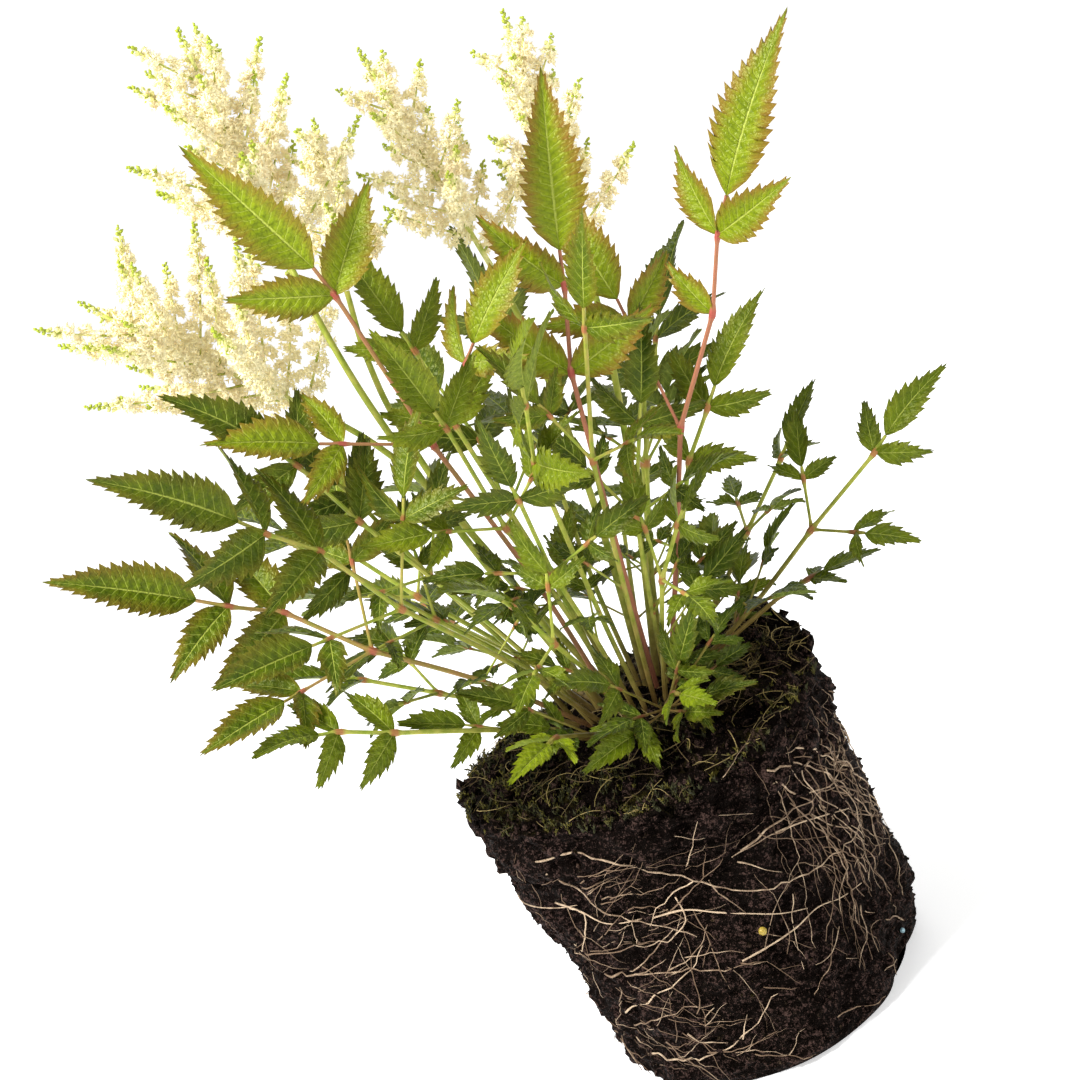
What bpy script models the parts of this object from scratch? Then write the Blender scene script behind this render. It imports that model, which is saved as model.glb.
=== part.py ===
"""An astilbe plant lifted from its pot: a peaty root ball, leafy fronds and feathery cream plumes.

Metres, +Z up, +X to the viewer's right and +Y away from the viewer. The origin is the middle of the
root ball's flat underside.
"""

import math
import random
from collections import namedtuple

import bmesh
import bpy
from mathutils import Matrix, Vector
from mathutils.bvhtree import BVHTree

MM = 0.001

# Root ball: a frustum that took its shape from a two-litre pot
BALL_TOP_RADIUS = 80 * MM
BALL_BASE_RADIUS = 70 * MM
BALL_HEIGHT = 135 * MM
BALL_CHAMFER = 4 * MM
RIM_BAND = 24 * MM
RIM_STEP = 2.5 * MM
RIM_GROOVE = 2 * MM
BALL_SIDES = 28
WALL_RINGS = 6
TOP_RINGS = 4
ROOT_RADIUS = 0.8 * MM
ROOT_STEP = 14 * MM
ROOT_COUNT = 13
ROOT_HEIGHTS = (0.30, 0.80)
ROOT_SUNK = 0.25
SURFACE_HAIR = 0.1 * MM

# Soil surface: a mound at the crown, a high left rim, a low front rim and a lump at the right back
MOUND_RISE = 14 * MM
MOUND_SPREAD = 40 * MM
LEFT_RISE = 5 * MM
FRONT_FALL = 5 * MM
LUMP_X = 62 * MM
LUMP_Y = 34 * MM
LUMP_RISE = 13 * MM
LUMP_SPREAD = 21 * MM
CRUMB_RISE = 1.2 * MM
CRUMB_X = 7 * MM
CRUMB_Y = 6 * MM

# Ball wall: soft lumps, a chip out of its foot at the front right and a knob above it
WALL_LUMP = 0.9 * MM
WALL_LUMPS_ROUND = 3
WALL_LUMP_CLIMB = 40
WALL_RIPPLE = 0.6 * MM
WALL_RIPPLES_ROUND = 7
WALL_RIPPLE_CLIMB = 90
CHIP_AT = -0.55
CHIP_WIDTH = 0.30
CHIP_DEPTH = 9 * MM
CHIP_TALL = 16 * MM
KNOB_AT = -0.10
KNOB_WIDTH = 0.22
KNOB_DEPTH = 3.5 * MM
KNOB_HEIGHT = 26 * MM
KNOB_TALL = 12 * MM

# Crown: where the stems leave the soil
CROWN_X = 2 * MM
CROWN_Y = 2 * MM
CROWN_INNER = 9 * MM
CROWN_OUTER = 34 * MM
STEM_SUNK = 12 * MM
HOLE_GAP = 0.85 * MM
HOLE_ABOVE = 8 * MM
FIT_GAP = 0.3 * MM

# Fronds
PETIOLE_RADIUS = 1.35 * MM
RACHIS_RADIUS = 0.85 * MM
SIDE_STALK_RADIUS = 0.75 * MM
BLADE_THICKNESS = 1.4 * MM
END_BLADE_WIDTH = 0.37
SIDE_BLADE_WIDTH = 0.43
BLADE_FOLD = 0.30
BLADE_DROOP = 0.20
BLADE_FOOT = 0.5 * MM
BLADE_TAPER = 0.4
BLADE_WIDEST = 0.64
BLADE_DRAWN_OUT = 1.1
BLADE_HOOK = 0.09
SHOULDER = (0.16, 0.62)
TEETH_START = 0.24
TEETH_SPAN = 0.56
TOOTH_TIP = 1.08
TOOTH_NOTCH = 0.74
NOTCH_STEP = 0.045
END_STALK = 0.20
JOINT_LENGTH = 2.2 * MM
JOINT_SPACE = 4 * MM
BIG_BLADE = 38 * MM
SMALL_BLADE = 22 * MM
CLEARANCE = 0.9 * MM
SEAT_TURNS = (8, 16, 24, 32, 40, 50, 60, 75, 90)
ZIGZAG = 0.008
PETIOLE_BEND = 0.3

# Side stalks and leaflets: angles in degrees, lengths as shares of the end leaflet
SIDE_STALK_ANGLE = 50
SIDE_STALK_RISE = -7
SIDE_STALK_LENGTH = 0.85
SIDE_STALK_SHRINK = 0.4
TRIO_END = 0.72
TRIO_SIDE = 0.50
TRIO_ANGLE = 58
LEAFLET_TWIST = 26
LEAFLET_SIZES = (1.0, 0.8, 0.62)
LEAFLET_TURNS = (9, 18, 26)

# Flower stalks and plumes
STALK_RADIUS = 1.7 * MM
STALK_THINNING = 0.06
STALK_BEND = 0.35
STALK_STOPS = (0, 0.3, 0.6, 0.8, 1)
PLUME_AXIS_RADIUS = 1.2 * MM
PLUME_AXIS_SHARE = 0.9
TOP_SPIKE_SHARE = 0.55
SPIKE_RADIUS = 6.2 * MM
SPIKE_STUD_ROW = 6.4 * MM
SPIKE_SIDES = 6
SPIKE_CURL = 0.10
SPIKE_FOOT = 0.30
SPIKE_FOOT_LENGTH = 0.22
SPIKE_TIP = 0.22
SPIKE_TAPER = 0.55
STUD_OUT = 1.25
STUD_IN = 0.72
LOWEST_SPIKE = 0.06
SPIKE_SPAN = 0.72
SPIKE_SHORTENING = 0.62
SPIKE_SLIMMING = 0.25
SPIKE_LEAN = 62
SPIKE_LEAN_LOSS = 20
SPIKE_TURNS = (14, 28, 42)

GOLDEN_ANGLE = 137.5
UP = Vector((0, 0, 1))
FLANKS = (0, -1, 0, 1)

# A leaf form lists, from the petiole up, how far along the rachis each joint sits and what it bears
TRIO = "trio of leaflets on a side stalk, left and right"
LEFT_TRIO = "trio of leaflets on a side stalk, left only"
PAIR = "one leaflet left and right"
TWIN = "one leaflet, close on the left of the end leaflet"
SINGLE = "one small leaflet on the left"
CROOK = "one leaflet wide on the left and one close on the right of the end leaflet"
LONG = ((0.62, TRIO), (0.86, PAIR), (1.0, PAIR))
TALL = ((0.58, LEFT_TRIO), (0.84, SINGLE), (1.0, CROOK))
MIDDLE = ((0.66, TRIO), (1.0, PAIR))
SHORT = ((0.80, PAIR), (1.0, PAIR))
FORKED = ((0.80, PAIR), (1.0, TWIN))
SPRIG = ((1.0, PAIR),)
# Each leaflet of a joint by side, angle off the rachis in degrees and share of the end leaflet's length
LEAFLETS_AT = {
    PAIR: ((1, 57, 0.70), (-1, 57, 0.70)),
    TWIN: ((1, 24, 0.72),),
    SINGLE: ((1, 55, 0.34),),
    CROOK: ((1, 50, 0.52), (-1, 20, 0.56)),
}

# Azimuth from +X and lean from upright in degrees; reach to the leaf tip and end leaflet in millimetres
Frond = namedtuple("Frond", "name azimuth lean reach arch leaf form")
FRONDS = (
    Frond("frond_left_long", -165, 43, 232, 8, 60, LONG),
    Frond("frond_left_high", -145, 34, 243, 6, 58, LONG),
    Frond("frond_left_top", -156, 23, 226, 8, 48, SHORT),
    Frond("frond_left_upper", -125, 11, 287, 6, 62, MIDDLE),
    Frond("frond_middle_left", -105, 17, 204, 10, 42, MIDDLE),
    Frond("frond_red_tip", -30, 17, 256, 6, 66, FORKED),
    Frond("frond_front_high", -78, 30, 232, 26, 56, SHORT),
    Frond("frond_middle_top", -130, 4, 222, 8, 42, SHORT),
    Frond("frond_right_tall", -25, 34, 283, 6, 74, TALL),
    Frond("frond_right_inner", -60, 28, 234, 10, 42, MIDDLE),
    Frond("frond_right_middle", -12, 36, 168, 10, 42, SHORT),
    Frond("frond_right_long", -5, 63, 162, -8, 36, MIDDLE),
    Frond("frond_right_back", 22, 58, 140, -6, 32, MIDDLE),
    Frond("frond_right_low", 5, 84, 90, 14, 26, SHORT),
    Frond("frond_left_low", -152, 58, 160, 10, 38, SHORT),
    Frond("frond_left_under", 176, 52, 140, 8, 40, MIDDLE),
    Frond("frond_young_front", -72, 72, 58, 30, 24, SPRIG),
    Frond("frond_yellow_front", -122, 68, 76, 26, 28, SPRIG),
    Frond("frond_front_low", -110, 38, 142, 16, 38, MIDDLE),
    Frond("frond_front_right", -50, 40, 136, 14, 36, MIDDLE),
    Frond("frond_right_fill", -20, 24, 160, 10, 38, MIDDLE),
    Frond("frond_left_fill", -172, 32, 168, 10, 40, MIDDLE),
    Frond("frond_back_left", 150, 40, 200, 12, 50, LONG),
    Frond("frond_back", 95, 36, 205, 12, 48, LONG),
    Frond("frond_back_right", 42, 42, 205, 12, 50, LONG),
    Frond("frond_back_low_left", 122, 64, 150, 10, 40, SHORT),
    Frond("frond_back_low_right", 68, 62, 150, 10, 40, SHORT),
    Frond("frond_inner_back", 60, 14, 205, 8, 40, MIDDLE),
    Frond("frond_inner_front", -92, 24, 165, 10, 36, MIDDLE),
    Frond("frond_inner_left", -160, 20, 185, 8, 38, MIDDLE),
    Frond("frond_inner_right", 12, 26, 180, 8, 38, MIDDLE),
)

# The stalk leans and reaches as a frond does; the plume above it leans its own way
Plume = namedtuple("Plume", "name azimuth lean reach top_azimuth top_lean length spread spikes")
PLUMES = (
    Plume("tall_left", -170, 7, 222, 0, 3, 99, 62, 13),
    Plume("far_left", 168, 15, 168, 180, 37, 104, 80, 14),
    Plume("middle", 36, 9, 182, 180, 4, 100, 46, 11),
    Plume("right", 14, 18, 180, 10, 9, 98, 44, 11),
    Plume("short_back", 112, 15, 200, 30, 20, 72, 34, 8),
)

Tube = namedtuple("Tube", "points radii")
Blade = namedtuple("Blade", "root along facing length width hook")
# What a stalk bears is keyed by (station below it, side), with side 1 to the left and -1 to the right
Stalk = namedtuple("Stalk", "points radii facing borne end")
# A joint of a way is (share of the rachis, what it bears, number of the station below it)
Way = namedtuple("Way", "points radii joints tip")
Spike = namedtuple("Spike", "foot along facing length radius")


def direction(azimuth, lean):
    """The unit vector that leans from upright towards an azimuth, both in degrees."""
    turn, tilt = math.radians(azimuth), math.radians(lean)
    return Vector((math.sin(tilt) * math.cos(turn), math.sin(tilt) * math.sin(turn), math.cos(tilt)))


def soil_height(x, y):
    """Height of the soil surface at a point in plan."""
    from_crown = math.hypot(x - CROWN_X, y - CROWN_Y)
    mound = MOUND_RISE * math.exp(-((from_crown / MOUND_SPREAD) ** 2))
    left = LEFT_RISE * max(0.0, -x / BALL_TOP_RADIUS)
    front = FRONT_FALL * max(0.0, -y / BALL_TOP_RADIUS)
    lump = LUMP_RISE * math.exp(-((math.hypot(x - LUMP_X, y - LUMP_Y) / LUMP_SPREAD) ** 2))
    crumb = CRUMB_RISE * math.sin(x / CRUMB_X + 1) * math.sin(y / CRUMB_Y)
    return BALL_HEIGHT + mound + left - front + lump + crumb


def wall_relief(angle, height):
    """How far the peat stands out of the plain frustum: a pot rim's band, soft lumps and a chipped foot."""
    band = RIM_STEP if height > BALL_HEIGHT - RIM_BAND - RIM_GROOVE / 2 else 0.0
    lumps = WALL_LUMP * math.sin(WALL_LUMPS_ROUND * angle + WALL_LUMP_CLIMB * height)
    lumps += WALL_RIPPLE * math.sin(WALL_RIPPLES_ROUND * angle - WALL_RIPPLE_CLIMB * height)
    chip_side = math.exp(-((angle_between(angle, CHIP_AT) / CHIP_WIDTH) ** 2))
    chip = CHIP_DEPTH * chip_side * math.exp(-((height / CHIP_TALL) ** 2))
    knob_side = math.exp(-((angle_between(angle, KNOB_AT) / KNOB_WIDTH) ** 2))
    knob = KNOB_DEPTH * knob_side * math.exp(-(((height - KNOB_HEIGHT) / KNOB_TALL) ** 2))
    return band + lumps - chip + knob


def angle_between(first, second):
    """The angle between two headings, in radians."""
    return abs((first - second + math.pi) % (2 * math.pi) - math.pi)


def crown_seat(azimuth, lean):
    """Where a stem leaves the soil: the more it leans, the further out."""
    radius = CROWN_INNER + (CROWN_OUTER - CROWN_INNER) * min(lean, 90) / 90
    turn = math.radians(azimuth)
    x = CROWN_X + radius * math.cos(turn)
    y = CROWN_Y + radius * math.sin(turn)
    return Vector((x, y, soil_height(x, y)))


def arched_route(seat, tip, azimuth, lean):
    """A quadratic curve from a seat to a tip that sets off with the given lean."""
    bend = seat + direction(azimuth, lean) * (0.5 * (tip - seat).length)
    return lambda t: seat * (1 - t) ** 2 + bend * (2 * t * (1 - t)) + tip * t**2


def leaf_face(azimuth):
    """The way a frond's upper face looks: up, and towards the light from the front or else outwards."""
    turn = math.radians(azimuth)
    if math.sin(turn) > 0:
        return Vector((0.4 * math.cos(turn), 0.4 * math.sin(turn), 1)).normalized()
    return Vector((0.15 * math.cos(turn), -0.85, 1)).normalized()


def turned(vector, axis, degrees):
    return Matrix.Rotation(math.radians(degrees), 3, axis) @ vector


def blade_rows(blade, grow=0.0):
    """A leaflet's tip, then its rib above and below and its left and right rims as rows of (share, point)."""
    length, width = blade.length + grow, blade.width + 2 * grow
    across = blade.facing.cross(blade.along).normalized()
    up = blade.along.cross(across)
    teeth = 3 if blade.length > BIG_BLADE else 2 if blade.length > SMALL_BLADE else 1

    def place(u, side):
        outline = math.sin(math.pi * u**BLADE_WIDEST) ** BLADE_DRAWN_OUT if 0 < u < 1 else 0.0
        out = side * outline * width / 2
        rise = BLADE_FOLD * abs(out) - BLADE_DROOP * length * u**2
        sideways = out + blade.hook * length * u**2
        return blade.root + blade.along * (length * u) + across * sideways + up * rise

    rim = [SHOULDER]
    for tooth in range(teeth):
        at = TEETH_START + TEETH_SPAN * (tooth + 0.5) / teeth
        rim += [(at, TOOTH_TIP), (at + NOTCH_STEP, TOOTH_NOTCH)]
    rib_stops = (1 / 3, 2 / 3) if teeth == 3 else (1 / 2,)
    half_rib = up * (BLADE_THICKNESS / 2 + grow)
    top, bottom = (
        [(u, place(u, 0) + half_rib * side * (1 - BLADE_TAPER * u)) for u in rib_stops] for side in (1, -1)
    )
    left, right = ([(u, place(u, side * part)) for u, part in rim] for side in (1, -1))
    return place(1, 0), top, bottom, left, right


def stitched(rib, rim):
    """Triangles between two rows of (share of length, point number) that start and end at shared points."""
    i = j = 1
    yield rib[0][1], rib[1][1], rim[1][1]
    while i < len(rib) - 2 or j < len(rim) - 2:
        if j == len(rim) - 2 or (i < len(rib) - 2 and rib[i + 1][0] <= rim[j + 1][0]):
            yield rib[i][1], rib[i + 1][1], rim[j][1]
            i += 1
        else:
            yield rib[i][1], rim[j + 1][1], rim[j][1]
            j += 1
    yield rib[i][1], rib[i + 1][1], rim[j][1]


def add_blade(points, faces, loop, blade, grow=0.0):
    """Adds a folded, arched, toothed leaflet, thick at its rib, that grows out of a loop.

    The loop is four points of its foot: top left, top right, bottom right and bottom left.
    """
    tip, *rows = blade_rows(blade, grow)
    stored = []
    for row in rows:
        stored.append([(u, len(points) + i) for i, (u, _) in enumerate(row)])
        points.extend(point for _, point in row)
    top, bottom, left, right = stored
    end = (1.0, len(points))
    points.append(tip)
    for first, second, row in zip(loop, loop[1:] + loop[:1], (top, right, bottom, left)):
        faces.append((first, second, row[0][1]))
    for corner, rib, rim in zip(loop, (top, top, bottom, bottom), (left, right, right, left)):
        start = (0.0, corner)
        faces.extend(stitched([start, *rib, end], [start, *rim, end]))


def blade_shell(blade, grow):
    """A leaflet by itself, a little larger all round, for seeing what it would touch."""
    across = blade.facing.cross(blade.along).normalized() * (BLADE_FOOT + grow)
    up = blade.facing * (BLADE_FOOT + grow)
    points = [blade.root + across + up, blade.root - across + up,
              blade.root - across - up, blade.root + across - up]
    faces = [(3, 2, 1, 0)]
    add_blade(points, faces, [0, 1, 2, 3], blade, grow)
    return points, faces


def add_stalk(points, faces, stalk, loop=None):
    """Adds a four-sided stalk with the leaflets or side stalks on its flanks and the leaflet at its end."""
    rings = []
    for i, point in enumerate(stalk.points):
        along = stalk.points[min(i + 1, len(stalk.points) - 1)] - stalk.points[max(i - 1, 0)]
        across = stalk.facing.cross(along).normalized() * (stalk.radii[i] * math.sqrt(0.5))
        up = along.cross(across).normalized() * (stalk.radii[i] * math.sqrt(0.5))
        rings.append(list(range(len(points), len(points) + 4)))
        points += [point + up + across, point + up - across, point - up - across, point - up + across]
    below = loop
    for i, ring in enumerate(rings):
        if below is None:
            faces.append(tuple(reversed(ring)))
        else:
            for k in range(4):
                flank = (below[k], below[k - 3], ring[k - 3], ring[k])
                borne = stalk.borne.get((i - 1, FLANKS[k]))
                if borne is None:
                    faces.append(flank)
                    continue
                foot = [below[0], ring[0], ring[3], below[3]] if FLANKS[k] > 0 else [
                    ring[1], below[1], below[2], ring[2]]
                if isinstance(borne, Stalk):
                    add_stalk(points, faces, borne, foot)
                else:
                    add_blade(points, faces, foot, borne)
        below = ring
    if stalk.end is None:
        faces.append(tuple(below))
    else:
        add_blade(points, faces, below, stalk.end)


def tube_shell(tube, grow):
    """A four-sided skin around a tube, for seeing what it would touch."""
    points, faces = [], []
    for i, point in enumerate(tube.points):
        ahead = tube.points[min(i + 1, len(tube.points) - 1)] - tube.points[max(i - 1, 0)]
        side = ahead.orthogonal().normalized() * (tube.radii[i] + grow)
        other = side.cross(ahead.normalized())
        points += [point + side, point + other, point - side, point - other]
        if i:
            for k in range(4):
                a, b = 4 * i - 4 + k, 4 * i - 4 + (k + 1) % 4
                faces.append((a, b, b + 4, a + 4))
    return points, faces


def spike_point(spike, u, turn, radius):
    """A point on a plume spike: u along its upward-curving middle line, turned about it at a radius."""
    across = spike.facing.cross(spike.along).normalized()
    up = spike.along.cross(across)
    middle = spike.foot + spike.along * (spike.length * u) + up * (SPIKE_CURL * spike.length * u**2)
    return middle + (across * math.cos(turn) + up * math.sin(turn)) * radius


def spike_girth(spike, u):
    """A spike's radius: bare at the foot, full over the lower half and drawn out to a budded tip."""
    foot = min(1.0, SPIKE_FOOT + u / SPIKE_FOOT_LENGTH)
    tip = SPIKE_TIP + (1 - SPIKE_TIP) * max(0.0, 1 - u) ** SPIKE_TAPER
    return spike.radius * foot * tip


def spike_shell(spike, grow):
    """A plain skin around a spike, for seeing what it would touch."""
    points, faces = [], []
    sides = rings = SPIKE_SIDES
    for ring in range(rings + 1):
        u = ring / rings
        for k in range(sides):
            radius = spike_girth(spike, u) * STUD_OUT + grow
            points.append(spike_point(spike, u, 2 * math.pi * k / sides, radius))
            if ring:
                a, b = (ring - 1) * sides + k, (ring - 1) * sides + (k + 1) % sides
                faces.append((a, b, b + sides, a + sides))
    return points, faces


class Space:
    """What is placed so far. It tells whether a further stalk, leaflet or spike would touch any of it."""

    def __init__(self):
        self.taken = []

    def clear(self, shell, own="", joint=None, buried=False):
        """Whether a shell is out of the soil and touches only its own stalks and its joint's leaflets."""
        points, faces = shell
        if not buried and any(in_soil(point) for point in points):
            return False
        tree = BVHTree.FromPolygons(points, faces)
        low, high = box_of(points)
        for owner, at, other_low, other_high, other in self.taken:
            if owner == own or (joint is not None and at == joint):
                continue
            if any(low[k] > other_high[k] or high[k] < other_low[k] for k in range(3)):
                continue
            if tree.overlap(other):
                return False
        return True

    def take_stalk(self, points, radii, owner):
        """Takes a stalk's whole length, and by themselves its stretches away from joints.

        Its own leaflets keep clear of those stretches only.
        """
        self.take(tube_shell(Tube(points, radii), 0), owner)
        for first, second, radius in zip(points, points[1:], radii):
            reach = second - first
            if reach.length > 3 * JOINT_SPACE:
                inset = reach.normalized() * JOINT_SPACE
                stretch = Tube([first + inset, second - inset], [radius] * 2)
                self.take(tube_shell(stretch, 0), owner + " between")

    def take(self, shell, owner, joint=None):
        points, faces = shell
        self.taken.append((owner, joint, *box_of(points), BVHTree.FromPolygons(points, faces)))


def box_of(points):
    return [min(p[k] for p in points) for k in range(3)], [max(p[k] for p in points) for k in range(3)]


def in_soil(point):
    """Whether a point above ground level is under the soil surface or inside the root ball's wall."""
    over_ball = math.hypot(point.x, point.y) < BALL_TOP_RADIUS + 6 * MM
    return over_ball and point.z < soil_height(point.x, point.y) + 1 * MM


def nudges(*sizes):
    """Pairs of small turns to try in order, the unturned one first."""
    yield 0, 0
    for size in sizes:
        for first, second in ((1, 0), (-1, 0), (0, 1), (0, -1), (1, 1), (-1, 1), (1, -1), (-1, -1)):
            yield first * size, second * size


def plan_plume(plume, space):
    """The stalk, plume axis and spikes of one flower, with each spike turned until it is clear."""
    seat = crown_seat(plume.azimuth, plume.lean)
    stalk_tip = seat + direction(plume.azimuth, plume.lean) * plume.reach * MM
    rise = direction(plume.top_azimuth, plume.top_lean)
    bend = stalk_tip - rise * (plume.reach * MM * STALK_BEND)
    points = [seat * (1 - t) ** 2 + bend * (2 * t * (1 - t)) + stalk_tip * t**2 for t in STALK_STOPS]
    points.insert(0, seat - (bend - seat).normalized() * STEM_SUNK)
    stalk = Tube(points, [STALK_RADIUS * (1 - STALK_THINNING * i) for i in range(len(points))])
    foot = stalk_tip + rise * FIT_GAP
    axis = Tube([foot, foot + rise * (plume.length * MM * PLUME_AXIS_SHARE)], [PLUME_AXIS_RADIUS] * 2)
    name = "plume_" + plume.name
    space.take(tube_shell(stalk, 0), "flower_stalk_" + plume.name)
    space.take(tube_shell(axis, 0), name)
    top_length = plume.length * MM * TOP_SPIKE_SHARE
    top_foot = foot + rise * (plume.length * MM - top_length)
    top = Spike(top_foot, rise, Vector((0, 1, 0)), top_length, SPIKE_RADIUS)
    spikes = [top]
    space.take(spike_shell(top, 0), name)
    for i in range(plume.spikes):
        share = LOWEST_SPIKE + SPIKE_SPAN * i / (plume.spikes - 1)
        length = plume.spread * MM * (1 - SPIKE_SHORTENING * share)
        radius = SPIKE_RADIUS * (1 - SPIKE_SLIMMING * share)
        root = foot + rise * (plume.length * MM * share)
        for turn, dip in nudges(*SPIKE_TURNS):
            heading = direction(GOLDEN_ANGLE * i + turn, SPIKE_LEAN - SPIKE_LEAN_LOSS * share + dip / 2)
            along = turned(heading, UP.cross(rise), plume.top_lean / 2)
            spike = Spike(root, along, UP, length, radius)
            if space.clear(spike_shell(spike, CLEARANCE), name):
                spikes.append(spike)
                space.take(spike_shell(spike, 0), name)
                break
    return stalk, axis, spikes


def clear_way(frond, space):
    """The rachis of one frond, its foot moved about the crown until it touches nothing placed before it."""
    for turn, shift in nudges(*SEAT_TURNS):
        way = rachis_route(frond, turn, shift)
        foot = tube_shell(Tube(way.points[:3], way.radii[:3]), CLEARANCE)
        stem = tube_shell(Tube(way.points[2:], way.radii[2:]), CLEARANCE)
        if space.clear(foot, buried=True) and space.clear(stem):
            space.take_stalk(way.points, way.radii, frond.name + " stalks")
            return way
    raise ValueError(frond.name + " finds no clear way up")


def plan_frond(frond, way, space):
    """One frond: its rachis with its side stalks and leaflets, each turned until clear, or left out."""
    own = frond.name + " stalks"
    points = way.points
    face = leaf_face(frond.azimuth)
    draw = random.Random(frond.name)
    leaf = frond.leaf * MM

    def leaflet(root, along, angle, length, width):
        """A leaflet at a joint, turned and if need be shortened until nothing touches it, or None."""
        facing = (face - along * face.dot(along)).normalized()
        base = turned(along, facing, angle)
        facing = turned(facing, base, draw.uniform(-LEAFLET_TWIST, LEAFLET_TWIST))
        length *= draw.uniform(0.9, 1.06)
        hook = draw.uniform(-BLADE_HOOK, BLADE_HOOK)
        across = facing.cross(base).normalized()
        for size in LEAFLET_SIZES:
            for yaw, pitch in nudges(*LEAFLET_TURNS):
                heading = turned(turned(base, facing, yaw), across, pitch)
                blade = Blade(root, heading, facing, length * size, length * size * width, hook)
                if space.clear(blade_shell(blade, CLEARANCE), own, root):
                    space.take(blade_shell(blade, 0), frond.name, root)
                    return blade
        return None

    def side_stalk(root, along, side, share):
        """A side stalk with its trio of leaflets, or None where it would touch something."""
        facing = (face - along * face.dot(along)).normalized()
        angle = side * (SIDE_STALK_ANGLE + draw.uniform(-8, 8))
        for yaw, pitch in nudges(8, 16):
            heading = turned(along, facing, angle + yaw)
            heading = turned(heading, facing.cross(heading).normalized(), pitch + SIDE_STALK_RISE)
            fork = root + heading * (leaf * (SIDE_STALK_LENGTH - SIDE_STALK_SHRINK * share))
            end = fork + heading * (leaf * TRIO_END * END_STALK)
            if space.clear(tube_shell(Tube([root, end], [SIDE_STALK_RADIUS] * 2), CLEARANCE), own):
                break
        else:
            return None
        half = heading * (JOINT_LENGTH / 2)
        points = [fork - half, fork + half, end]
        space.take_stalk([root, fork, end], [SIDE_STALK_RADIUS] * 3, own)
        borne = {
            (0, side): leaflet(fork, heading, side * TRIO_ANGLE, leaf * TRIO_SIDE, SIDE_BLADE_WIDTH)
            for side in (1, -1)
        }
        last = leaflet(end, heading, 0, leaf * TRIO_END, SIDE_BLADE_WIDTH)
        return Stalk(points, [SIDE_STALK_RADIUS] * 3, facing, borne, last)

    onward = (way.tip - points[-1]).normalized()
    end = leaflet(points[-1], onward, 0, leaf, END_BLADE_WIDTH)
    borne = {}
    for share, kind, station in way.joints:
        joint = (points[station] + points[station + 1]) / 2
        along = (points[station + 2] - points[station + 1]).normalized()
        if kind in (TRIO, LEFT_TRIO):
            for side in (1,) if kind == LEFT_TRIO else (1, -1):
                borne[station, side] = side_stalk(joint, along, side, share)
            continue
        for side, angle, length in LEAFLETS_AT[kind]:
            angle = side * (angle + draw.uniform(-6, 6))
            borne[station, side] = leaflet(joint, along, angle, leaf * length, SIDE_BLADE_WIDTH)
    return Stalk(points, way.radii, face, borne, end)


def rachis_route(frond, turn, shift):
    """The rachis from its sunk foot up, with its joints and the place of its end leaflet's tip.

    Its foot is turned about the crown and shifted outwards, while its tip stays where the table puts it.
    """
    tip = crown_seat(frond.azimuth, frond.lean) + direction(frond.azimuth, frond.lean) * frond.reach * MM
    seat = crown_seat(frond.azimuth + turn, frond.lean + shift)
    route = arched_route(seat, tip, frond.azimuth, frond.lean - frond.arch)
    end = 1 - frond.leaf * (1 + END_STALK) / frond.reach
    face = leaf_face(frond.azimuth)
    points = [seat - (route(0.1) - seat).normalized() * STEM_SUNK, seat, route(PETIOLE_BEND * end)]
    joints = []
    for i, (share, kind) in enumerate(frond.form):
        onward = (route(end * share + 0.02) - route(end * share)).normalized()
        sideways = face.cross(onward).normalized() * (-1) ** i * (1 + ZIGZAG * frond.reach) * MM
        joint = route(end * share) + sideways * (share < 1)
        joints.append((share, kind, len(points)))
        points += [joint - onward * (JOINT_LENGTH / 2), joint + onward * (JOINT_LENGTH / 2)]
    points.append(points[-1] + (route(1) - points[-1]).normalized() * (frond.leaf * MM * END_STALK))
    last = len(points) - 1
    radii = [PETIOLE_RADIUS + (RACHIS_RADIUS - PETIOLE_RADIUS) * i / last for i in range(last + 1)]
    return Way(points, radii, joints, route(1))


def plan_plant():
    """Every plume and frond in one space: the plumes first, then every rachis, then what the fronds bear."""
    space = Space()
    plumes = {plume.name: plan_plume(plume, space) for plume in PLUMES}
    ways = [clear_way(frond, space) for frond in FRONDS]
    fronds = {frond.name: plan_frond(frond, way, space) for frond, way in zip(FRONDS, ways)}
    return plumes, fronds


def clear_scene():
    for existing in list(bpy.data.objects):
        bpy.data.objects.remove(existing, do_unlink=True)


def new_collection(name, hidden=False):
    made = bpy.data.collections.new(name)
    made.hide_render = hidden
    bpy.context.scene.collection.children.link(made)
    return made


def material(name, colour, roughness):
    made = bpy.data.materials.new(name)
    made.use_nodes = True
    shader = made.node_tree.nodes["Principled BSDF"]
    shader.inputs["Base Color"].default_value = (*colour, 1)
    shader.inputs["Roughness"].default_value = roughness
    shader.inputs["Metallic"].default_value = 0
    made.diffuse_color = (*colour, 1)
    return made


def mesh_object(name, points, faces):
    mesh = bpy.data.meshes.new(name)
    mesh.from_pydata([tuple(point) for point in points], [], faces)
    made = bpy.data.objects.new(name, mesh)
    bpy.context.scene.collection.objects.link(made)
    return made


def settled(obj, name):
    """The object as its modifiers or curve settings show it, as a plain mesh that takes its place."""
    bpy.context.view_layer.update()
    seen = obj.evaluated_get(bpy.context.evaluated_depsgraph_get())
    mesh = bpy.data.meshes.new_from_object(seen)
    made = bpy.data.objects.new(name, mesh)
    made.matrix_world = obj.matrix_world
    bpy.context.scene.collection.objects.link(made)
    bpy.data.objects.remove(obj, do_unlink=True)
    return made


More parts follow.
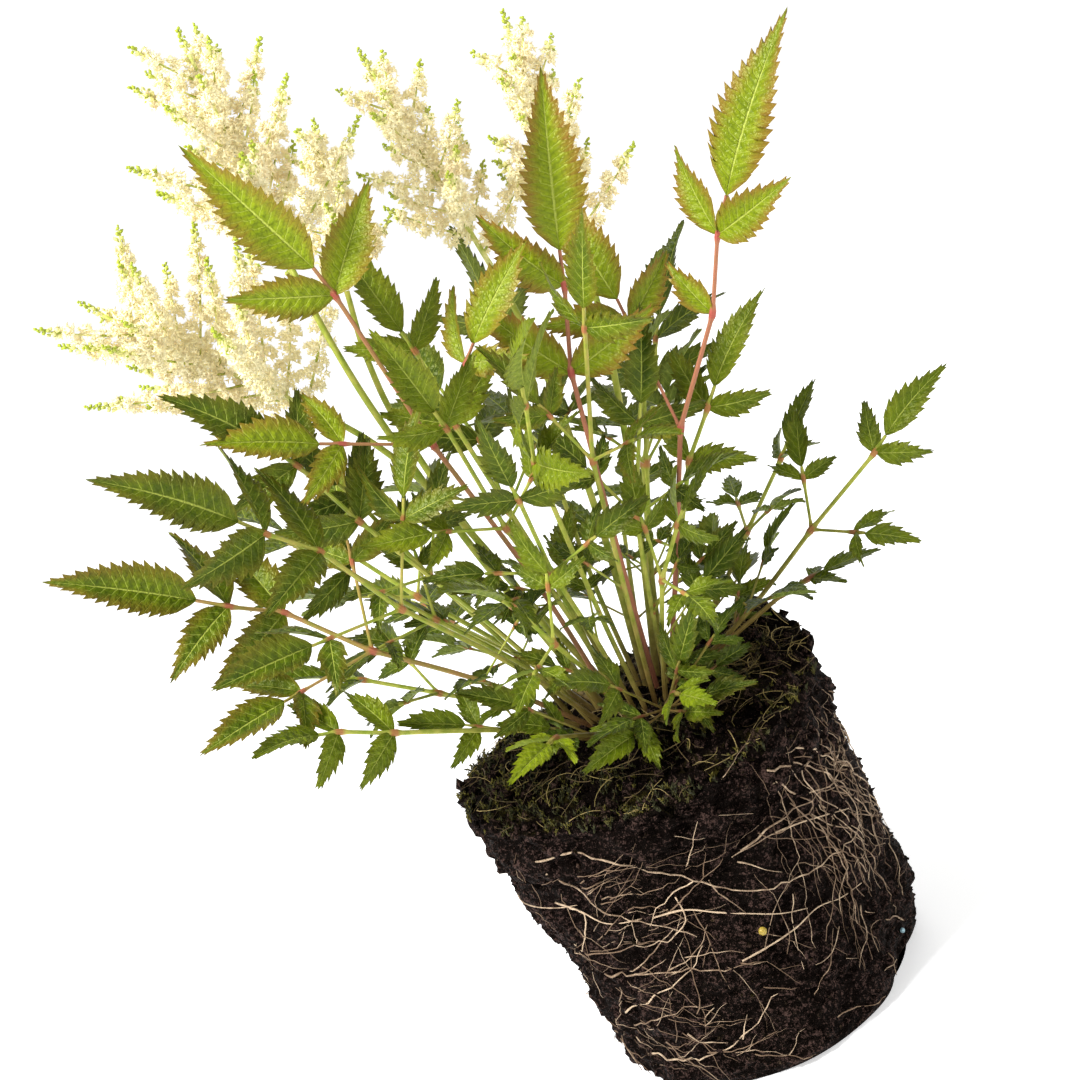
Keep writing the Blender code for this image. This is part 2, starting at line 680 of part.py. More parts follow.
def tube_object(name, tube):
    """A four-sided tube with filled caps along a tube's points, thinning as its radii do."""
    curve = bpy.data.curves.new(name, "CURVE")
    curve.dimensions = "3D"
    curve.bevel_depth = tube.radii[0]
    curve.bevel_resolution = 0
    curve.use_fill_caps = True
    spline = curve.splines.new("POLY")
    spline.points.add(len(tube.points) - 1)
    for spot, point, radius in zip(spline.points, tube.points, tube.radii):
        spot.co = (*point, 1)
        spot.radius = radius / tube.radii[0]
    guide = bpy.data.objects.new(name + "_route", curve)
    bpy.context.scene.collection.objects.link(guide)
    made = settled(guide, name)
    cleaned(made)
    return made


def cleaned(obj):
    """Welds loose caps and turns the faces outwards."""
    shape = bmesh.new()
    shape.from_mesh(obj.data)
    bmesh.ops.remove_doubles(shape, verts=shape.verts, dist=0.01 * MM)
    bmesh.ops.recalc_face_normals(shape, faces=shape.faces)
    shape.to_mesh(obj.data)
    shape.free()


def frond_object(name, rachis):
    """A frond as one closed body: its stalks open into side stalks and leaflets, so nothing needs joining."""
    points, faces = [], []
    add_stalk(points, faces, rachis)
    made = mesh_object(name, points, faces)
    cleaned(made)
    return made


def spike_object(spike):
    """A spike of florets: a sphere drawn out along the spike, with staggered studs raised by a formula."""
    rows = max(5, round(spike.length / SPIKE_STUD_ROW))
    shape = bmesh.new()
    bmesh.ops.create_uvsphere(shape, u_segments=SPIKE_SIDES, v_segments=rows, radius=1)
    for vert in shape.verts:
        row = round(math.acos(max(-1, min(1, -vert.co.z))) / math.pi * rows)
        side = round(math.atan2(vert.co.y, vert.co.x) / (2 * math.pi) * SPIKE_SIDES)
        u = row / rows
        stud = STUD_OUT if (row + side) % 2 else STUD_IN
        radius = spike_girth(spike, u) * stud if 0 < row < rows else 0.0
        vert.co = spike_point(spike, u, 2 * math.pi * side / SPIKE_SIDES, radius)
    mesh = bpy.data.meshes.new("spike")
    shape.to_mesh(mesh)
    shape.free()
    made = bpy.data.objects.new("spike", mesh)
    bpy.context.scene.collection.objects.link(made)
    cleaned(made)
    return made


def fused(name, pieces):
    """One closed body: the first piece joined with the others by a single Boolean union."""
    body, others = pieces[0], pieces[1:]
    if others:
        group = new_collection(name + "_pieces")
        for other in others:
            bpy.context.scene.collection.objects.unlink(other)
            group.objects.link(other)
        join = body.modifiers.new("Join", "BOOLEAN")
        join.operation = "UNION"
        join.operand_type = "COLLECTION"
        join.collection = group
        join.solver = "MANIFOLD"
    body.name = name + "_body"
    made = settled(body, name)
    keep_outer_skin(made)
    if others:
        for other in others:
            bpy.data.objects.remove(other, do_unlink=True)
        bpy.data.collections.remove(group)
    return made


def keep_outer_skin(obj):
    """Drops the skins of hollows that the union shut in between its pieces, so that the body is solid."""
    shape = bmesh.new()
    shape.from_mesh(obj.data)
    left = set(shape.faces)
    skins = []
    while left:
        first = left.pop()
        skin, ahead = {first}, [first]
        while ahead:
            face = ahead.pop()
            beside = {other for edge in face.edges for other in edge.link_faces} - skin
            skin |= beside
            ahead.extend(beside)
        left -= skin
        skins.append(skin)
    outer = max(skins, key=len)
    hollows = [face for skin in skins if skin is not outer for face in skin]
    bmesh.ops.delete(shape, geom=hollows, context="FACES")
    shape.to_mesh(obj.data)
    shape.free()


def finished(obj, collection, surface):
    """Puts a finished sub-part in its collection with its material, shaded smooth except at sharp edges."""
    obj.data.materials.clear()
    obj.data.materials.append(surface)
    obj.data.shade_smooth()
    obj.data.set_sharp_from_angle(angle=math.radians(35))
    for holder in list(obj.users_collection):
        holder.objects.unlink(obj)
    collection.objects.link(obj)
    return obj


def frustum_radius(height):
    """The ball's plain radius below its rim band."""
    return BALL_BASE_RADIUS + (BALL_TOP_RADIUS - RIM_STEP - BALL_BASE_RADIUS) * height / BALL_HEIGHT


def peat_body():
    """The root ball without its roots: a turned profile whose wall and top are then roughened by formula."""
    profile = [(BALL_TOP_RADIUS * ring / TOP_RINGS, BALL_HEIGHT) for ring in range(TOP_RINGS)]
    groove = BALL_HEIGHT - RIM_BAND - RIM_GROOVE
    heights = [BALL_HEIGHT, BALL_HEIGHT - RIM_BAND]
    heights += [groove + (BALL_CHAMFER - groove) * ring / WALL_RINGS for ring in range(WALL_RINGS + 1)]
    profile += [(frustum_radius(height), height) for height in heights]
    profile += [(BALL_BASE_RADIUS - BALL_CHAMFER, 0), (BALL_BASE_RADIUS / 2, 0), (0, 0)]
    outline = mesh_object("outline", [(x, 0, z) for x, z in profile], [])
    shape = bmesh.new()
    shape.from_mesh(outline.data)
    shape.verts.ensure_lookup_table()
    for a, b in zip(shape.verts[:-1], shape.verts[1:]):
        shape.edges.new((a, b))
    shape.to_mesh(outline.data)
    shape.free()
    turn = outline.modifiers.new("Turn", "SCREW")
    turn.steps = turn.render_steps = BALL_SIDES
    turn.use_merge_vertices = True
    turn.merge_threshold = SURFACE_HAIR
    body = settled(outline, "peat")
    for vert in body.data.vertices:
        x, y, z = vert.co
        reach = math.hypot(x, y)
        angle = math.atan2(y, x)
        if z >= BALL_CHAMFER:
            at_wall = reach > frustum_radius(z) - SURFACE_HAIR
            out = wall_relief(angle, z) if at_wall else 0.0
            scale = (reach + out) / reach if reach else 1.0
            vert.co.x, vert.co.y = x * scale, y * scale
        if z >= BALL_HEIGHT - SURFACE_HAIR:
            vert.co.z = soil_height(vert.co.x, vert.co.y)
    cleaned(body)
    return body


def side_roots(body):
    """Roots that wrap the ball, half sunk in its wall: tubes whose points are laid on the peat."""
    surface = BVHTree.FromObject(body, bpy.context.evaluated_depsgraph_get())
    draw = random.Random("roots")
    roots = []
    for i in range(ROOT_COUNT):
        angle = math.radians(-175 + 360 / ROOT_COUNT * i + draw.uniform(-8, 8))
        height = BALL_HEIGHT * draw.uniform(*ROOT_HEIGHTS)
        slope = draw.uniform(-0.35, 0.25)
        points = []
        for step in range(draw.randint(4, 6)):
            outwards = Vector((math.cos(angle), math.sin(angle), 0))
            spot, normal, _, _ = surface.ray_cast(outwards * (2 * BALL_TOP_RADIUS) + UP * height, -outwards)
            points.append(spot + normal * (ROOT_SUNK * ROOT_RADIUS))
            angle += ROOT_STEP / BALL_TOP_RADIUS * math.cos(slope)
            height += ROOT_STEP * math.sin(slope)
            slope += draw.uniform(-0.35, 0.3)
        roots.append(tube_object("root", Tube(points, [ROOT_RADIUS] * len(points))))
    return roots


def hole_cutter(stem, cutters):
    """The plain hole that a stem stands in: the stem's own foot, a little wider and deeper."""
    foot, seat = stem.points[:2]
    down = (foot - seat).normalized()
    radius = stem.radii[0] + HOLE_GAP
    hole = Tube([foot + down * FIT_GAP, seat - down * HOLE_ABOVE], [radius, radius])
    cutter = tube_object("hole", hole)
    cutter.display_type = "WIRE"
    cutter.hide_render = True
    for holder in list(cutter.users_collection):
        holder.objects.unlink(cutter)
    cutters.objects.link(cutter)


def main():
    clear_scene()
    plant = new_collection("astilbe plant")
    cutters = new_collection("cutters", hidden=True)
    peat = material("peat", (0.030, 0.022, 0.017), 0.95)
    leaf = material("leaf", (0.12, 0.24, 0.05), 0.45)
    young_leaf = material("young leaf", (0.30, 0.38, 0.08), 0.45)
    stalk_green = material("flower stalk", (0.32, 0.38, 0.10), 0.5)
    cream = material("cream floret", (0.86, 0.82, 0.60), 0.8)

    plumes, fronds = plan_plant()
    stems = []
    for name, (stalk, axis, spikes) in plumes.items():
        stems.append(stalk)
        finished(fused("flower_stalk_" + name, [tube_object("stalk", stalk)]), plant, stalk_green)
        heads = [tube_object("axis", axis)] + [spike_object(spike) for spike in spikes]
        finished(fused("plume_" + name, heads), plant, cream)
    for name, rachis in fronds.items():
        stems.append(rachis)
        tender = name in ("frond_young_front", "frond_yellow_front")
        finished(frond_object(name, rachis), plant, young_leaf if tender else leaf)

    body = peat_body()
    ball = fused("root_ball", [body] + side_roots(body))
    for stem in stems:
        hole_cutter(stem, cutters)
    cut = ball.modifiers.new("Stem holes", "BOOLEAN")
    cut.operation = "DIFFERENCE"
    cut.operand_type = "COLLECTION"
    cut.collection = cutters
    cut.solver = "MANIFOLD"
    finished(ball, plant, peat)


main()
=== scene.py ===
"""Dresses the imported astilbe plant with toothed, veined leaves, frothy plumes and a root-bound ball.

Metres, +Z up, +X to the viewer's right and +Y away from the viewer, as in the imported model.
"""

import math
import random
from collections import namedtuple

import bpy
import numpy as np
from bpy.props import FloatProperty, FloatVectorProperty, IntProperty, PointerProperty
from mathutils import Matrix, Vector, noise
from mathutils.bvhtree import BVHTree


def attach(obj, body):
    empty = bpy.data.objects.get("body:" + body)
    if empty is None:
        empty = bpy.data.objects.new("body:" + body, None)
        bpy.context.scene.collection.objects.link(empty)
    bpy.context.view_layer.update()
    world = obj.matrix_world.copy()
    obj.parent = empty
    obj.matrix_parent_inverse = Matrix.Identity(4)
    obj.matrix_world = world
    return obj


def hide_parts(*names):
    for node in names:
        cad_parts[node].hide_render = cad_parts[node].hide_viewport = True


bl_info = {
    "name": "Astilbe plant",
    "version": (1, 0, 0),
    "blender": (4, 5, 0),
    "location": "3D View > Sidebar > Astilbe",
    "description": "Grows a cream astilbe with its bare root ball round the packed model",
    "category": "Add Mesh",
}

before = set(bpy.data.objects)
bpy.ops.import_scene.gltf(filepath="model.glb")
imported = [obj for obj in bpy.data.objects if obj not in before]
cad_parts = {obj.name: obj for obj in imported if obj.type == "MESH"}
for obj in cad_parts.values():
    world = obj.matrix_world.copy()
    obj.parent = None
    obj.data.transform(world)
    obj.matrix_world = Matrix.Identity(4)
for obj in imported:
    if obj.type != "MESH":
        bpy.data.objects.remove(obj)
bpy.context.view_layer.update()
BODY = "root"
MM = 0.001

# Root ball: a frustum of about two litres
BALL_TOP_RADIUS = 80 * MM
BALL_BASE_RADIUS = 70 * MM
BALL_HEIGHT = 135 * MM
BALL_CHAMFER = 4 * MM
RIM_BAND = 24 * MM
RIM_STEP = 2.5 * MM
RIM_GROOVE = 2 * MM
ROOT_RADIUS = 0.8 * MM
ROOT_STEP = 14 * MM
ROOT_COUNT = 13
ROOT_HEIGHTS = (0.30, 0.80)

# Soil surface: a mound at the crown, a high left rim, a low front rim and a lump at the right back
MOUND_RISE = 14 * MM
MOUND_SPREAD = 40 * MM
LEFT_RISE = 5 * MM
FRONT_FALL = 5 * MM
LUMP_X = 62 * MM
LUMP_Y = 34 * MM
LUMP_RISE = 13 * MM
LUMP_SPREAD = 21 * MM
CRUMB_RISE = 1.2 * MM
CRUMB_X = 7 * MM
CRUMB_Y = 6 * MM

# Ball wall: soft lumps, a chip out of its foot at the front right and a knob above it
WALL_LUMP = 0.9 * MM
WALL_LUMPS_ROUND = 3
WALL_LUMP_CLIMB = 40
WALL_RIPPLE = 0.6 * MM
WALL_RIPPLES_ROUND = 7
WALL_RIPPLE_CLIMB = 90
CHIP_AT = -0.55
CHIP_WIDTH = 0.30
CHIP_DEPTH = 9 * MM
CHIP_TALL = 16 * MM
KNOB_AT = -0.10
KNOB_WIDTH = 0.22
KNOB_DEPTH = 3.5 * MM
KNOB_HEIGHT = 26 * MM
KNOB_TALL = 12 * MM

# Crown: where the stems leave the soil
CROWN_X = 2 * MM
CROWN_Y = 2 * MM
CROWN_INNER = 9 * MM
CROWN_OUTER = 34 * MM
STEM_SUNK = 12 * MM
FIT_GAP = 0.3 * MM
SOIL_GAP = 1 * MM
WALL_GAP = 6 * MM

# Fronds
PETIOLE_RADIUS = 1.35 * MM
RACHIS_RADIUS = 0.85 * MM
SIDE_STALK_RADIUS = 0.75 * MM
BLADE_THICKNESS = 1.4 * MM
END_BLADE_WIDTH = 0.37
SIDE_BLADE_WIDTH = 0.43
BLADE_FOLD = 0.30
BLADE_DROOP = 0.20
BLADE_FOOT = 0.5 * MM
BLADE_TAPER = 0.4
BLADE_WIDEST = 0.64
BLADE_DRAWN_OUT = 1.1
BLADE_HOOK = 0.09
SHOULDER = (0.16, 0.62)
TEETH_START = 0.24
TEETH_SPAN = 0.56
TOOTH_TIP = 1.08
TOOTH_NOTCH = 0.74
NOTCH_STEP = 0.045
END_STALK = 0.20
JOINT_LENGTH = 2.2 * MM
JOINT_SPACE = 4 * MM
BIG_BLADE = 38 * MM
SMALL_BLADE = 22 * MM
CLEARANCE = 0.9 * MM
SEAT_TURNS = (8, 16, 24, 32, 40, 50, 60, 75, 90)
ZIGZAG = 0.008
PETIOLE_BEND = 0.3
SEAT_STEP = 0.1
JOINT_STEP = 0.02
BARE_STRETCH = 3 * JOINT_SPACE
# How far a leaf's upper face turns outwards, and in front sideways and towards the viewer
FACE_OUTWARDS = 0.4
FACE_SIDEWAYS = 0.15
FACE_FORWARDS = 0.85

# Side stalks and leaflets: angles in degrees, lengths as shares of the end leaflet
SIDE_STALK_ANGLE = 50
SIDE_STALK_RISE = -7
SIDE_STALK_LENGTH = 0.85
SIDE_STALK_SHRINK = 0.4
SIDE_STALK_STRAY = 8
SIDE_STALK_TURNS = (8, 16)
TRIO_END = 0.72
TRIO_SIDE = 0.50
TRIO_ANGLE = 58
LEAFLET_TWIST = 26
LEAFLET_STRAY = 6
LEAFLET_LENGTHS = (0.9, 1.06)
LEAFLET_SIZES = (1.0, 0.8, 0.62)
LEAFLET_TURNS = (9, 18, 26)

# Flower stalks and plumes
STALK_RADIUS = 1.7 * MM
STALK_THINNING = 0.06
STALK_BEND = 0.35
STALK_STOPS = (0, 0.3, 0.6, 0.8, 1)
PLUME_AXIS_RADIUS = 1.2 * MM
PLUME_AXIS_SHARE = 0.9
TOP_SPIKE_SHARE = 0.55
SPIKE_RADIUS = 6.2 * MM
SPIKE_SIDES = 6
SPIKE_CURL = 0.10
SPIKE_FOOT = 0.30
SPIKE_FOOT_LENGTH = 0.22
SPIKE_TIP = 0.22
SPIKE_TAPER = 0.55
STUD_OUT = 1.25
LOWEST_SPIKE = 0.06
SPIKE_SPAN = 0.72
SPIKE_SHORTENING = 0.62
SPIKE_SLIMMING = 0.25
SPIKE_LEAN = 62
SPIKE_LEAN_LOSS = 20
SPIKE_TURNS = (14, 28, 42)

GOLDEN_ANGLE = 137.5
UP = Vector((0, 0, 1))
NEARLY_UPRIGHT = 0.9

# A leaf form lists, from the petiole up, how far along the rachis each joint sits and what it bears
TRIO = "trio of leaflets on a side stalk, left and right"
LEFT_TRIO = "trio of leaflets on a side stalk, left only"
PAIR = "one leaflet left and right"
TWIN = "one leaflet, close on the left of the end leaflet"
SINGLE = "one small leaflet on the left"
CROOK = "one leaflet wide on the left and one close on the right of the end leaflet"
LONG = ((0.62, TRIO), (0.86, PAIR), (1.0, PAIR))
TALL = ((0.58, LEFT_TRIO), (0.84, SINGLE), (1.0, CROOK))
MIDDLE = ((0.66, TRIO), (1.0, PAIR))
SHORT = ((0.80, PAIR), (1.0, PAIR))
FORKED = ((0.80, PAIR), (1.0, TWIN))
SPRIG = ((1.0, PAIR),)
# Each leaflet of a joint by side, angle off the rachis in degrees and share of the end leaflet's length
LEAFLETS_AT = {
    PAIR: ((1, 57, 0.70), (-1, 57, 0.70)),
    TWIN: ((1, 24, 0.72),),
    SINGLE: ((1, 55, 0.34),),
    CROOK: ((1, 50, 0.52), (-1, 20, 0.56)),
}

# Azimuth from +X and lean from upright in degrees, reach to the leaf tip and end leaflet in millimetres,
# form, and how fresh and how blushed the green is
Frond = namedtuple("Frond", "name azimuth lean reach arch leaf form fresh blush", defaults=(0.28, 0.15))
FRONDS = [Frond("frond_" + name, *rest) for name, *rest in (
    ("left_long", -165, 43, 232, 8, 60, LONG, 0.42, 0.55),
    ("left_high", -145, 34, 243, 6, 58, LONG, 0.36, 0.30),
    ("left_top", -156, 23, 226, 8, 48, SHORT, 0.34, 0.20),
    ("left_upper", -125, 11, 287, 6, 62, MIDDLE, 0.80, 0.75),
    ("middle_left", -105, 17, 204, 10, 42, MIDDLE, 0.60, 0.20),
    ("red_tip", -30, 17, 256, 6, 66, FORKED, 0.82, 0.95),
    ("front_high", -78, 30, 232, 26, 56, SHORT, 0.72, 0.15),
    ("middle_top", -130, 4, 222, 8, 42, SHORT, 0.55, 0.20),
    ("right_tall", -25, 34, 283, 6, 74, TALL, 0.78, 0.90),
    ("right_inner", -60, 28, 234, 10, 42, MIDDLE, 0.45, 0.35),
    ("right_middle", -12, 36, 168, 10, 42, SHORT, 0.50, 0.20),
    ("right_long", -5, 63, 162, -8, 36, MIDDLE, 0.48, 0.15),
    ("right_back", 22, 58, 140, -6, 32, MIDDLE, 0.40, 0.10),
    ("right_low", 5, 84, 90, 14, 26, SHORT, 0.38, 0.10),
    ("left_low", -152, 58, 160, 10, 38, SHORT, 0.52, 0.15),
    ("left_under", 176, 52, 140, 8, 40, MIDDLE, 0.34, 0.10),
    ("young_front", -72, 72, 58, 30, 24, SPRIG, 0.75, 0.00),
    ("yellow_front", -122, 68, 76, 26, 28, SPRIG, 0.95, 0.10),
    ("front_low", -110, 38, 142, 16, 38, MIDDLE, 0.50, 0.10),
    ("front_right", -50, 40, 136, 14, 36, MIDDLE, 0.46, 0.10),
    ("right_fill", -20, 24, 160, 10, 38, MIDDLE),
    ("left_fill", -172, 32, 168, 10, 40, MIDDLE),
    ("back_left", 150, 40, 200, 12, 50, LONG),
    ("back", 95, 36, 205, 12, 48, LONG),
    ("back_right", 42, 42, 205, 12, 50, LONG),
    ("back_low_left", 122, 64, 150, 10, 40, SHORT),
    ("back_low_right", 68, 62, 150, 10, 40, SHORT),
    ("inner_back", 60, 14, 205, 8, 40, MIDDLE),
    ("inner_front", -92, 24, 165, 10, 36, MIDDLE),
    ("inner_left", -160, 20, 185, 8, 38, MIDDLE),
    ("inner_right", 12, 26, 180, 8, 38, MIDDLE),
)]

# The stalk leans and reaches as a frond does; the plume above it leans its own way
Plume = namedtuple("Plume", "name azimuth lean reach top_azimuth top_lean length spread spikes")
PLUMES = [Plume(*row) for row in (
    ("tall_left", -170, 7, 222, 0, 3, 99, 62, 13),
    ("far_left", 168, 15, 168, 180, 37, 104, 80, 14),
    ("middle", 36, 9, 182, 180, 4, 100, 46, 11),
    ("right", 14, 18, 180, 10, 9, 98, 44, 11),
    ("short_back", 112, 15, 200, 30, 20, 72, 34, 8),
)]

Tube = namedtuple("Tube", "points radii")
Blade = namedtuple("Blade", "root along facing length width hook")
# What a stalk bears is keyed by (station below it, side), with side 1 to the left and -1 to the right
Stalk = namedtuple("Stalk", "points radii facing borne end")
# A joint of a way is (share of the rachis, what it bears, number of the station below it)
Way = namedtuple("Way", "points radii joints tip")
Spike = namedtuple("Spike", "foot along facing length radius")
Plan = namedtuple("Plan", "space plumes fronds")

# Fine leaves
FINE_COLUMNS = (-1, -0.68, -0.34, 0, 0.34, 0.68, 1)
SMALL_COLUMNS = (-1, -0.5, 0, 0.5, 1)
PLEAT_DEPTH = 0.5 * MM
TOOTH_SPACING = 5.0 * MM
TEETH_FROM = 0.09
TEETH_TO = 0.93
FEWEST_TEETH = 5
MOST_TEETH = 13
TOOTH_VARIETY = 0.2
# Rows of a leaflet as (share of its length, half width, forward shift). A double tooth is given as
# (share of its step, what it adds to the half width, forward shift as a share of its step)
FOOT_ROWS = ((0.0, 0.3, 0.0), (0.035, 0.75, 0.0))
TOOTH_ROWS = ((0.0, -0.22, 0.0), (0.28, -0.06, 0.24), (0.42, -0.11, 0.06), (0.70, 0.07, 0.66))
TIP_ROWS = ((TEETH_TO + 0.01, 0.86, 0.0), (0.975, 1.0, 0.0))
FOOT_WIDTH = 0.035
TIP_FROM = 0.7
TIP_SLIMMING = 0.2
TOOTH_LEAN = 0.6
VEIN_SLANT = 1.7
VEIN_START = 0.85
PLEAT_RISE = 4
# How leaflets differ: fold, height in mm and start of the waves along their rims, cup and roll
FOLDS = (0.32, 0.66)
WAVE_HEIGHTS = (0.3, 1.2)
WAVE_STARTS = (0, 6)
WAVE_PACE = 9
CUP_DEPTHS = (0.05, 0.30)
ROLL = 0.22
BLADE_SKIN = 0.28 * MM
SKIN_AT_MIDDLE = 1.2
SKIN_THINNING = 0.9
RIB_DEPTH = 0.5 * MM
RIB_WIDTH = 0.1
RIB_TAPER = 0.8
LEAF_CREASE = 50
STALK_STEP = 4 * MM
STALK_SIDES = 7
STALK_GIRTH = 0.86
FLOWER_STALK_SIDES = 12
FLOWER_STALK_FLUSH = 0.1
STALK_BLUSH_HEIGHT = 110 * MM
JOINT_SWELL = 0.7
JOINT_SWELL_REACH = 2.0 * MM
YOUNG_FRONDS = ("frond_young_front", "frond_yellow_front")

# Fine plumes
FLORET_RADIUS = 1.5 * MM
FLORET_RING = 6
BUD_RADIUS = 1.5 * MM
# A floret's petals and the gaps between them as (reach, height) and its top and foot, in floret radii
OPEN_FLORET = ((1.0, 0.55), (0.30, 0.12), 0.3, -0.35)
BUD = ((0.62, 0.2), (0.62, -0.2), 0.72, -0.66)
FLORET_LIFTS = (0.6, 1.7)
# Florets along a spike: how many, how they gather in side sprays, how far out they sit and how they face
FLORETS_A_METRE = 10000
THIN_SPIKE_SHARE = 0.45
FLORETS_FROM = 0.02
FLORETS_UPWARDS = 0.9
SIDE_SPRAY_STEP = 3.6 * MM
FEWEST_SPRAYS = 6
SPRAY_STRAY = 0.75
SPRAY_BULGE = (0.95, 0.22)
FLORET_DEPTHS = (0.04, 1.0)
FLORETS_OUTWARDS = 0.6
FLORET_TILT = 0.55
FLORET_STRAY = 0.28
FLORET_AGES = 0.2
FLORET_SIZES = (0.75, 1.2)
# Near the buds some florets are still closed
EARLY_BUDS_FROM = 0.95
EARLY_BUD_CHANCE = 0.6
EARLY_BUD_SIZE = 0.6
SPIKE_AGES = (0.0, 0.75)

# The chain of buds at a spike's tip: turned by an angle in radians, from a wide foot to a thin end
BUDS_A_METRE = 1500
BUD_SHARE = 0.82
BUD_OVERLAP = 0.06
BUD_TURN = 2.4
BUD_REACHES = (1.9 * MM, 0.5 * MM)
BUD_STRAY = (0.6, 1.1)
BUD_SIZES = (1.15, 0.75)
# The branch inside a spike and the plume's axis, with radii in mm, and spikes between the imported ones
BRANCH_END = 0.97
BRANCH_RINGS = 7
BRANCH_SIDES = 5
BRANCH_RADII = (0.6, 0.3)
AXIS_RADII = (1.2, 0.7)
BETWEEN_STRAY = 0.15
BETWEEN_LENGTHS = (0.65, 0.9)
BETWEEN_RADIUS = 0.8

# Fine root ball
PEAT_SIDES = 240
COARSE_CRUMB = 2.4 * MM
LUMP_CRUMB = 1.3 * MM
FINE_CRUMB = 0.8 * MM
RIM_RAGGED = 3.6 * MM
FOOT_RINGS = 10
WALL_RINGS = 104
TOP_RINGS = 64
FOOT_CALM = 3 * MM
# How large each kind of crumb is along the surface, and the level taken off the coarse ones
COARSE_SIZE = 16 * MM
COARSE_LEVEL = 0.45
LUMP_SIZE = 5 * MM
LUMP_STRAY_SIZE = 3 * MM
FINE_SIZE = 1.7 * MM
RAGGED_SIZE = 7 * MM
# The radius share or the height past which the rim is ragged
RAGGED_FROM = {"foot": 1, "wall": BALL_HEIGHT - RIM_BAND, "top": 0.8}

# Loose crumbs: a share on top and the rest on the wall; radii in mm, most of them small
LOOSE_CRUMBS = 4200
LOOSE_ON_TOP = 0.55
LOOSE_LOWEST = 0.03
LOOSE_UPWARDS = 0.7
LOOSE_RADIUS = 0.5
LOOSE_SPANS = {"top": 4.0, "wall": 1.0}
LOOSE_RARITY = 6
LOOSE_OUT = 0.2
# Loose crumbs are told as raised, so the painted shade of the hollows leaves them browner
LOOSE_TINT = (0.5, 0.4, 0.5)
OCTAHEDRON = ((1, 0, 0), (0, 1, 0), (-1, 0, 0), (0, -1, 0), (0, 0, 1), (0, 0, -1))
OCTAHEDRON_FACES = (
    (0, 1, 4), (1, 2, 4), (2, 3, 4), (3, 0, 4),
    (1, 0, 5), (2, 1, 5), (3, 2, 5), (0, 3, 5),
)
CORNER_REACHES = (0.6, 1.4)
CRUMB_STRETCH = (0.6, 1.3)

# Roots: how they follow the crumbs and dip under them, their steps along the wall, and how they taper
ROOT_FOLLOWS = 0.8
ROOT_OUT = 0.55 * MM
ROOT_DIP = 0.6 * MM
ROOT_DIP_SIZE = 9 * MM
ROOT_STRIDE = 3 * MM
ROOT_LOWEST = 3 * MM
FEWEST_ROOT_POINTS = 4
ROOT_SPACING = 2.5 * MM
ROOT_TAPER = (1.0, 0.4)
ROOT_KNOTS = (0.8, 1.25)
ROOT_SIDES = 5
LAID_PALENESS = (0.35, 0.75)
FREE_PALENESS = (0.05, 0.6)

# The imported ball's roots, by the rule of its source: headings in degrees, slopes in radians
RELIEF_FROM = -175
RELIEF_STRAY = 8
RELIEF_SLOPES = (-0.35, 0.25)
RELIEF_TURNS = (-0.35, 0.3)
RELIEF_STEPS = (4, 6)
RELIEF_THINNING = 0.55

# Laid roots are smoothed in a plane of radians by tenths of a metre, then shaken a little
LAID_SCALE = 10
LAID_SPACING = 0.05
LAID_TURN_SHAKE = 0.006
LAID_HEIGHT_SHAKE = 0.5
LAID_THINNING = 0.85

# Free roots by kind: heights as shares of the ball's, mean and spread of the slope, lengths in mm
RootKind = namedtuple("RootKind", "heights slopes lengths")
BUNDLE = RootKind((0.55, 0.95), (-1.1, 0.4), (25, 85))
FLAT = RootKind((0.1, 0.85), (-0.05, 0.4), (12, 50))
STRAY = RootKind((0.06, 0.95), (-0.3, 0.9), (8, 50))
BUNDLE_BELOW = 0.20
FLAT_BELOW = 0.40
BUNDLE_HEADING = (-44, 12)
FLAT_HEADINGS = (-158, -110)
FREE_RADIUS = 0.13
FREE_RADIUS_SPAN = 0.22
FREE_WANDER = 0.12
FORK_POINTS = 8
FORK_CHANCE = 0.6
FORK_ANGLE = 0.8
FORK_LENGTH = 0.45
FORK_WANDER = 0.25
FORK_THINNING = 0.7

# Straws: lengths and radii in mm. A share of them hang down the front of the lump
STRAW_LENGTHS = (6, 22)
STRAW_RADII = (0.12, 0.30)
STRAW_BOW = 0.7
STRAW_RISE = 0.6
STRAW_ARCH = 1.3
STRAW_PALENESS = 1.8
STRAW_TAPER = (1, 0.5)
FEWEST_STRAW_POINTS = 3
STRAW_POINTS = 6
STRAW_SIDES = 4
STRAW_OVER_SOIL = 0.6 * MM
STRAW_TINTS = (1.0, 1.0, 0.5)
HANGING_SHARE = 0.33
HANGING_PALENESS = 0.5
HANGING_X = (-6, 11)
HANGING_Y = (-20, 14)
HANGING_HEADING = (-110, 35)

# Moss shoots: heights in mm, with leaves round them by the golden angle
MOSS_PATCH_SIZE = 22 * MM
MOSS_TO_LEFT = 0.25
MOSS_LEVEL = 0.1
MOSS_OUTWARDS = 0.35
MOSS_HEIGHTS = (2, 5)
MOSS_LEAVES = 6
MOSS_LEAF_LEAN = 50
MOSS_LEAF_LENGTH = 1.5 * MM
MOSS_LEAF_WIDTH = 0.5 * MM
MOSS_LEAF_DEPTH = 0.4 * MM
MOSS_LEAF_RISE = 0.6
SHOOT_LEAN = 0.5

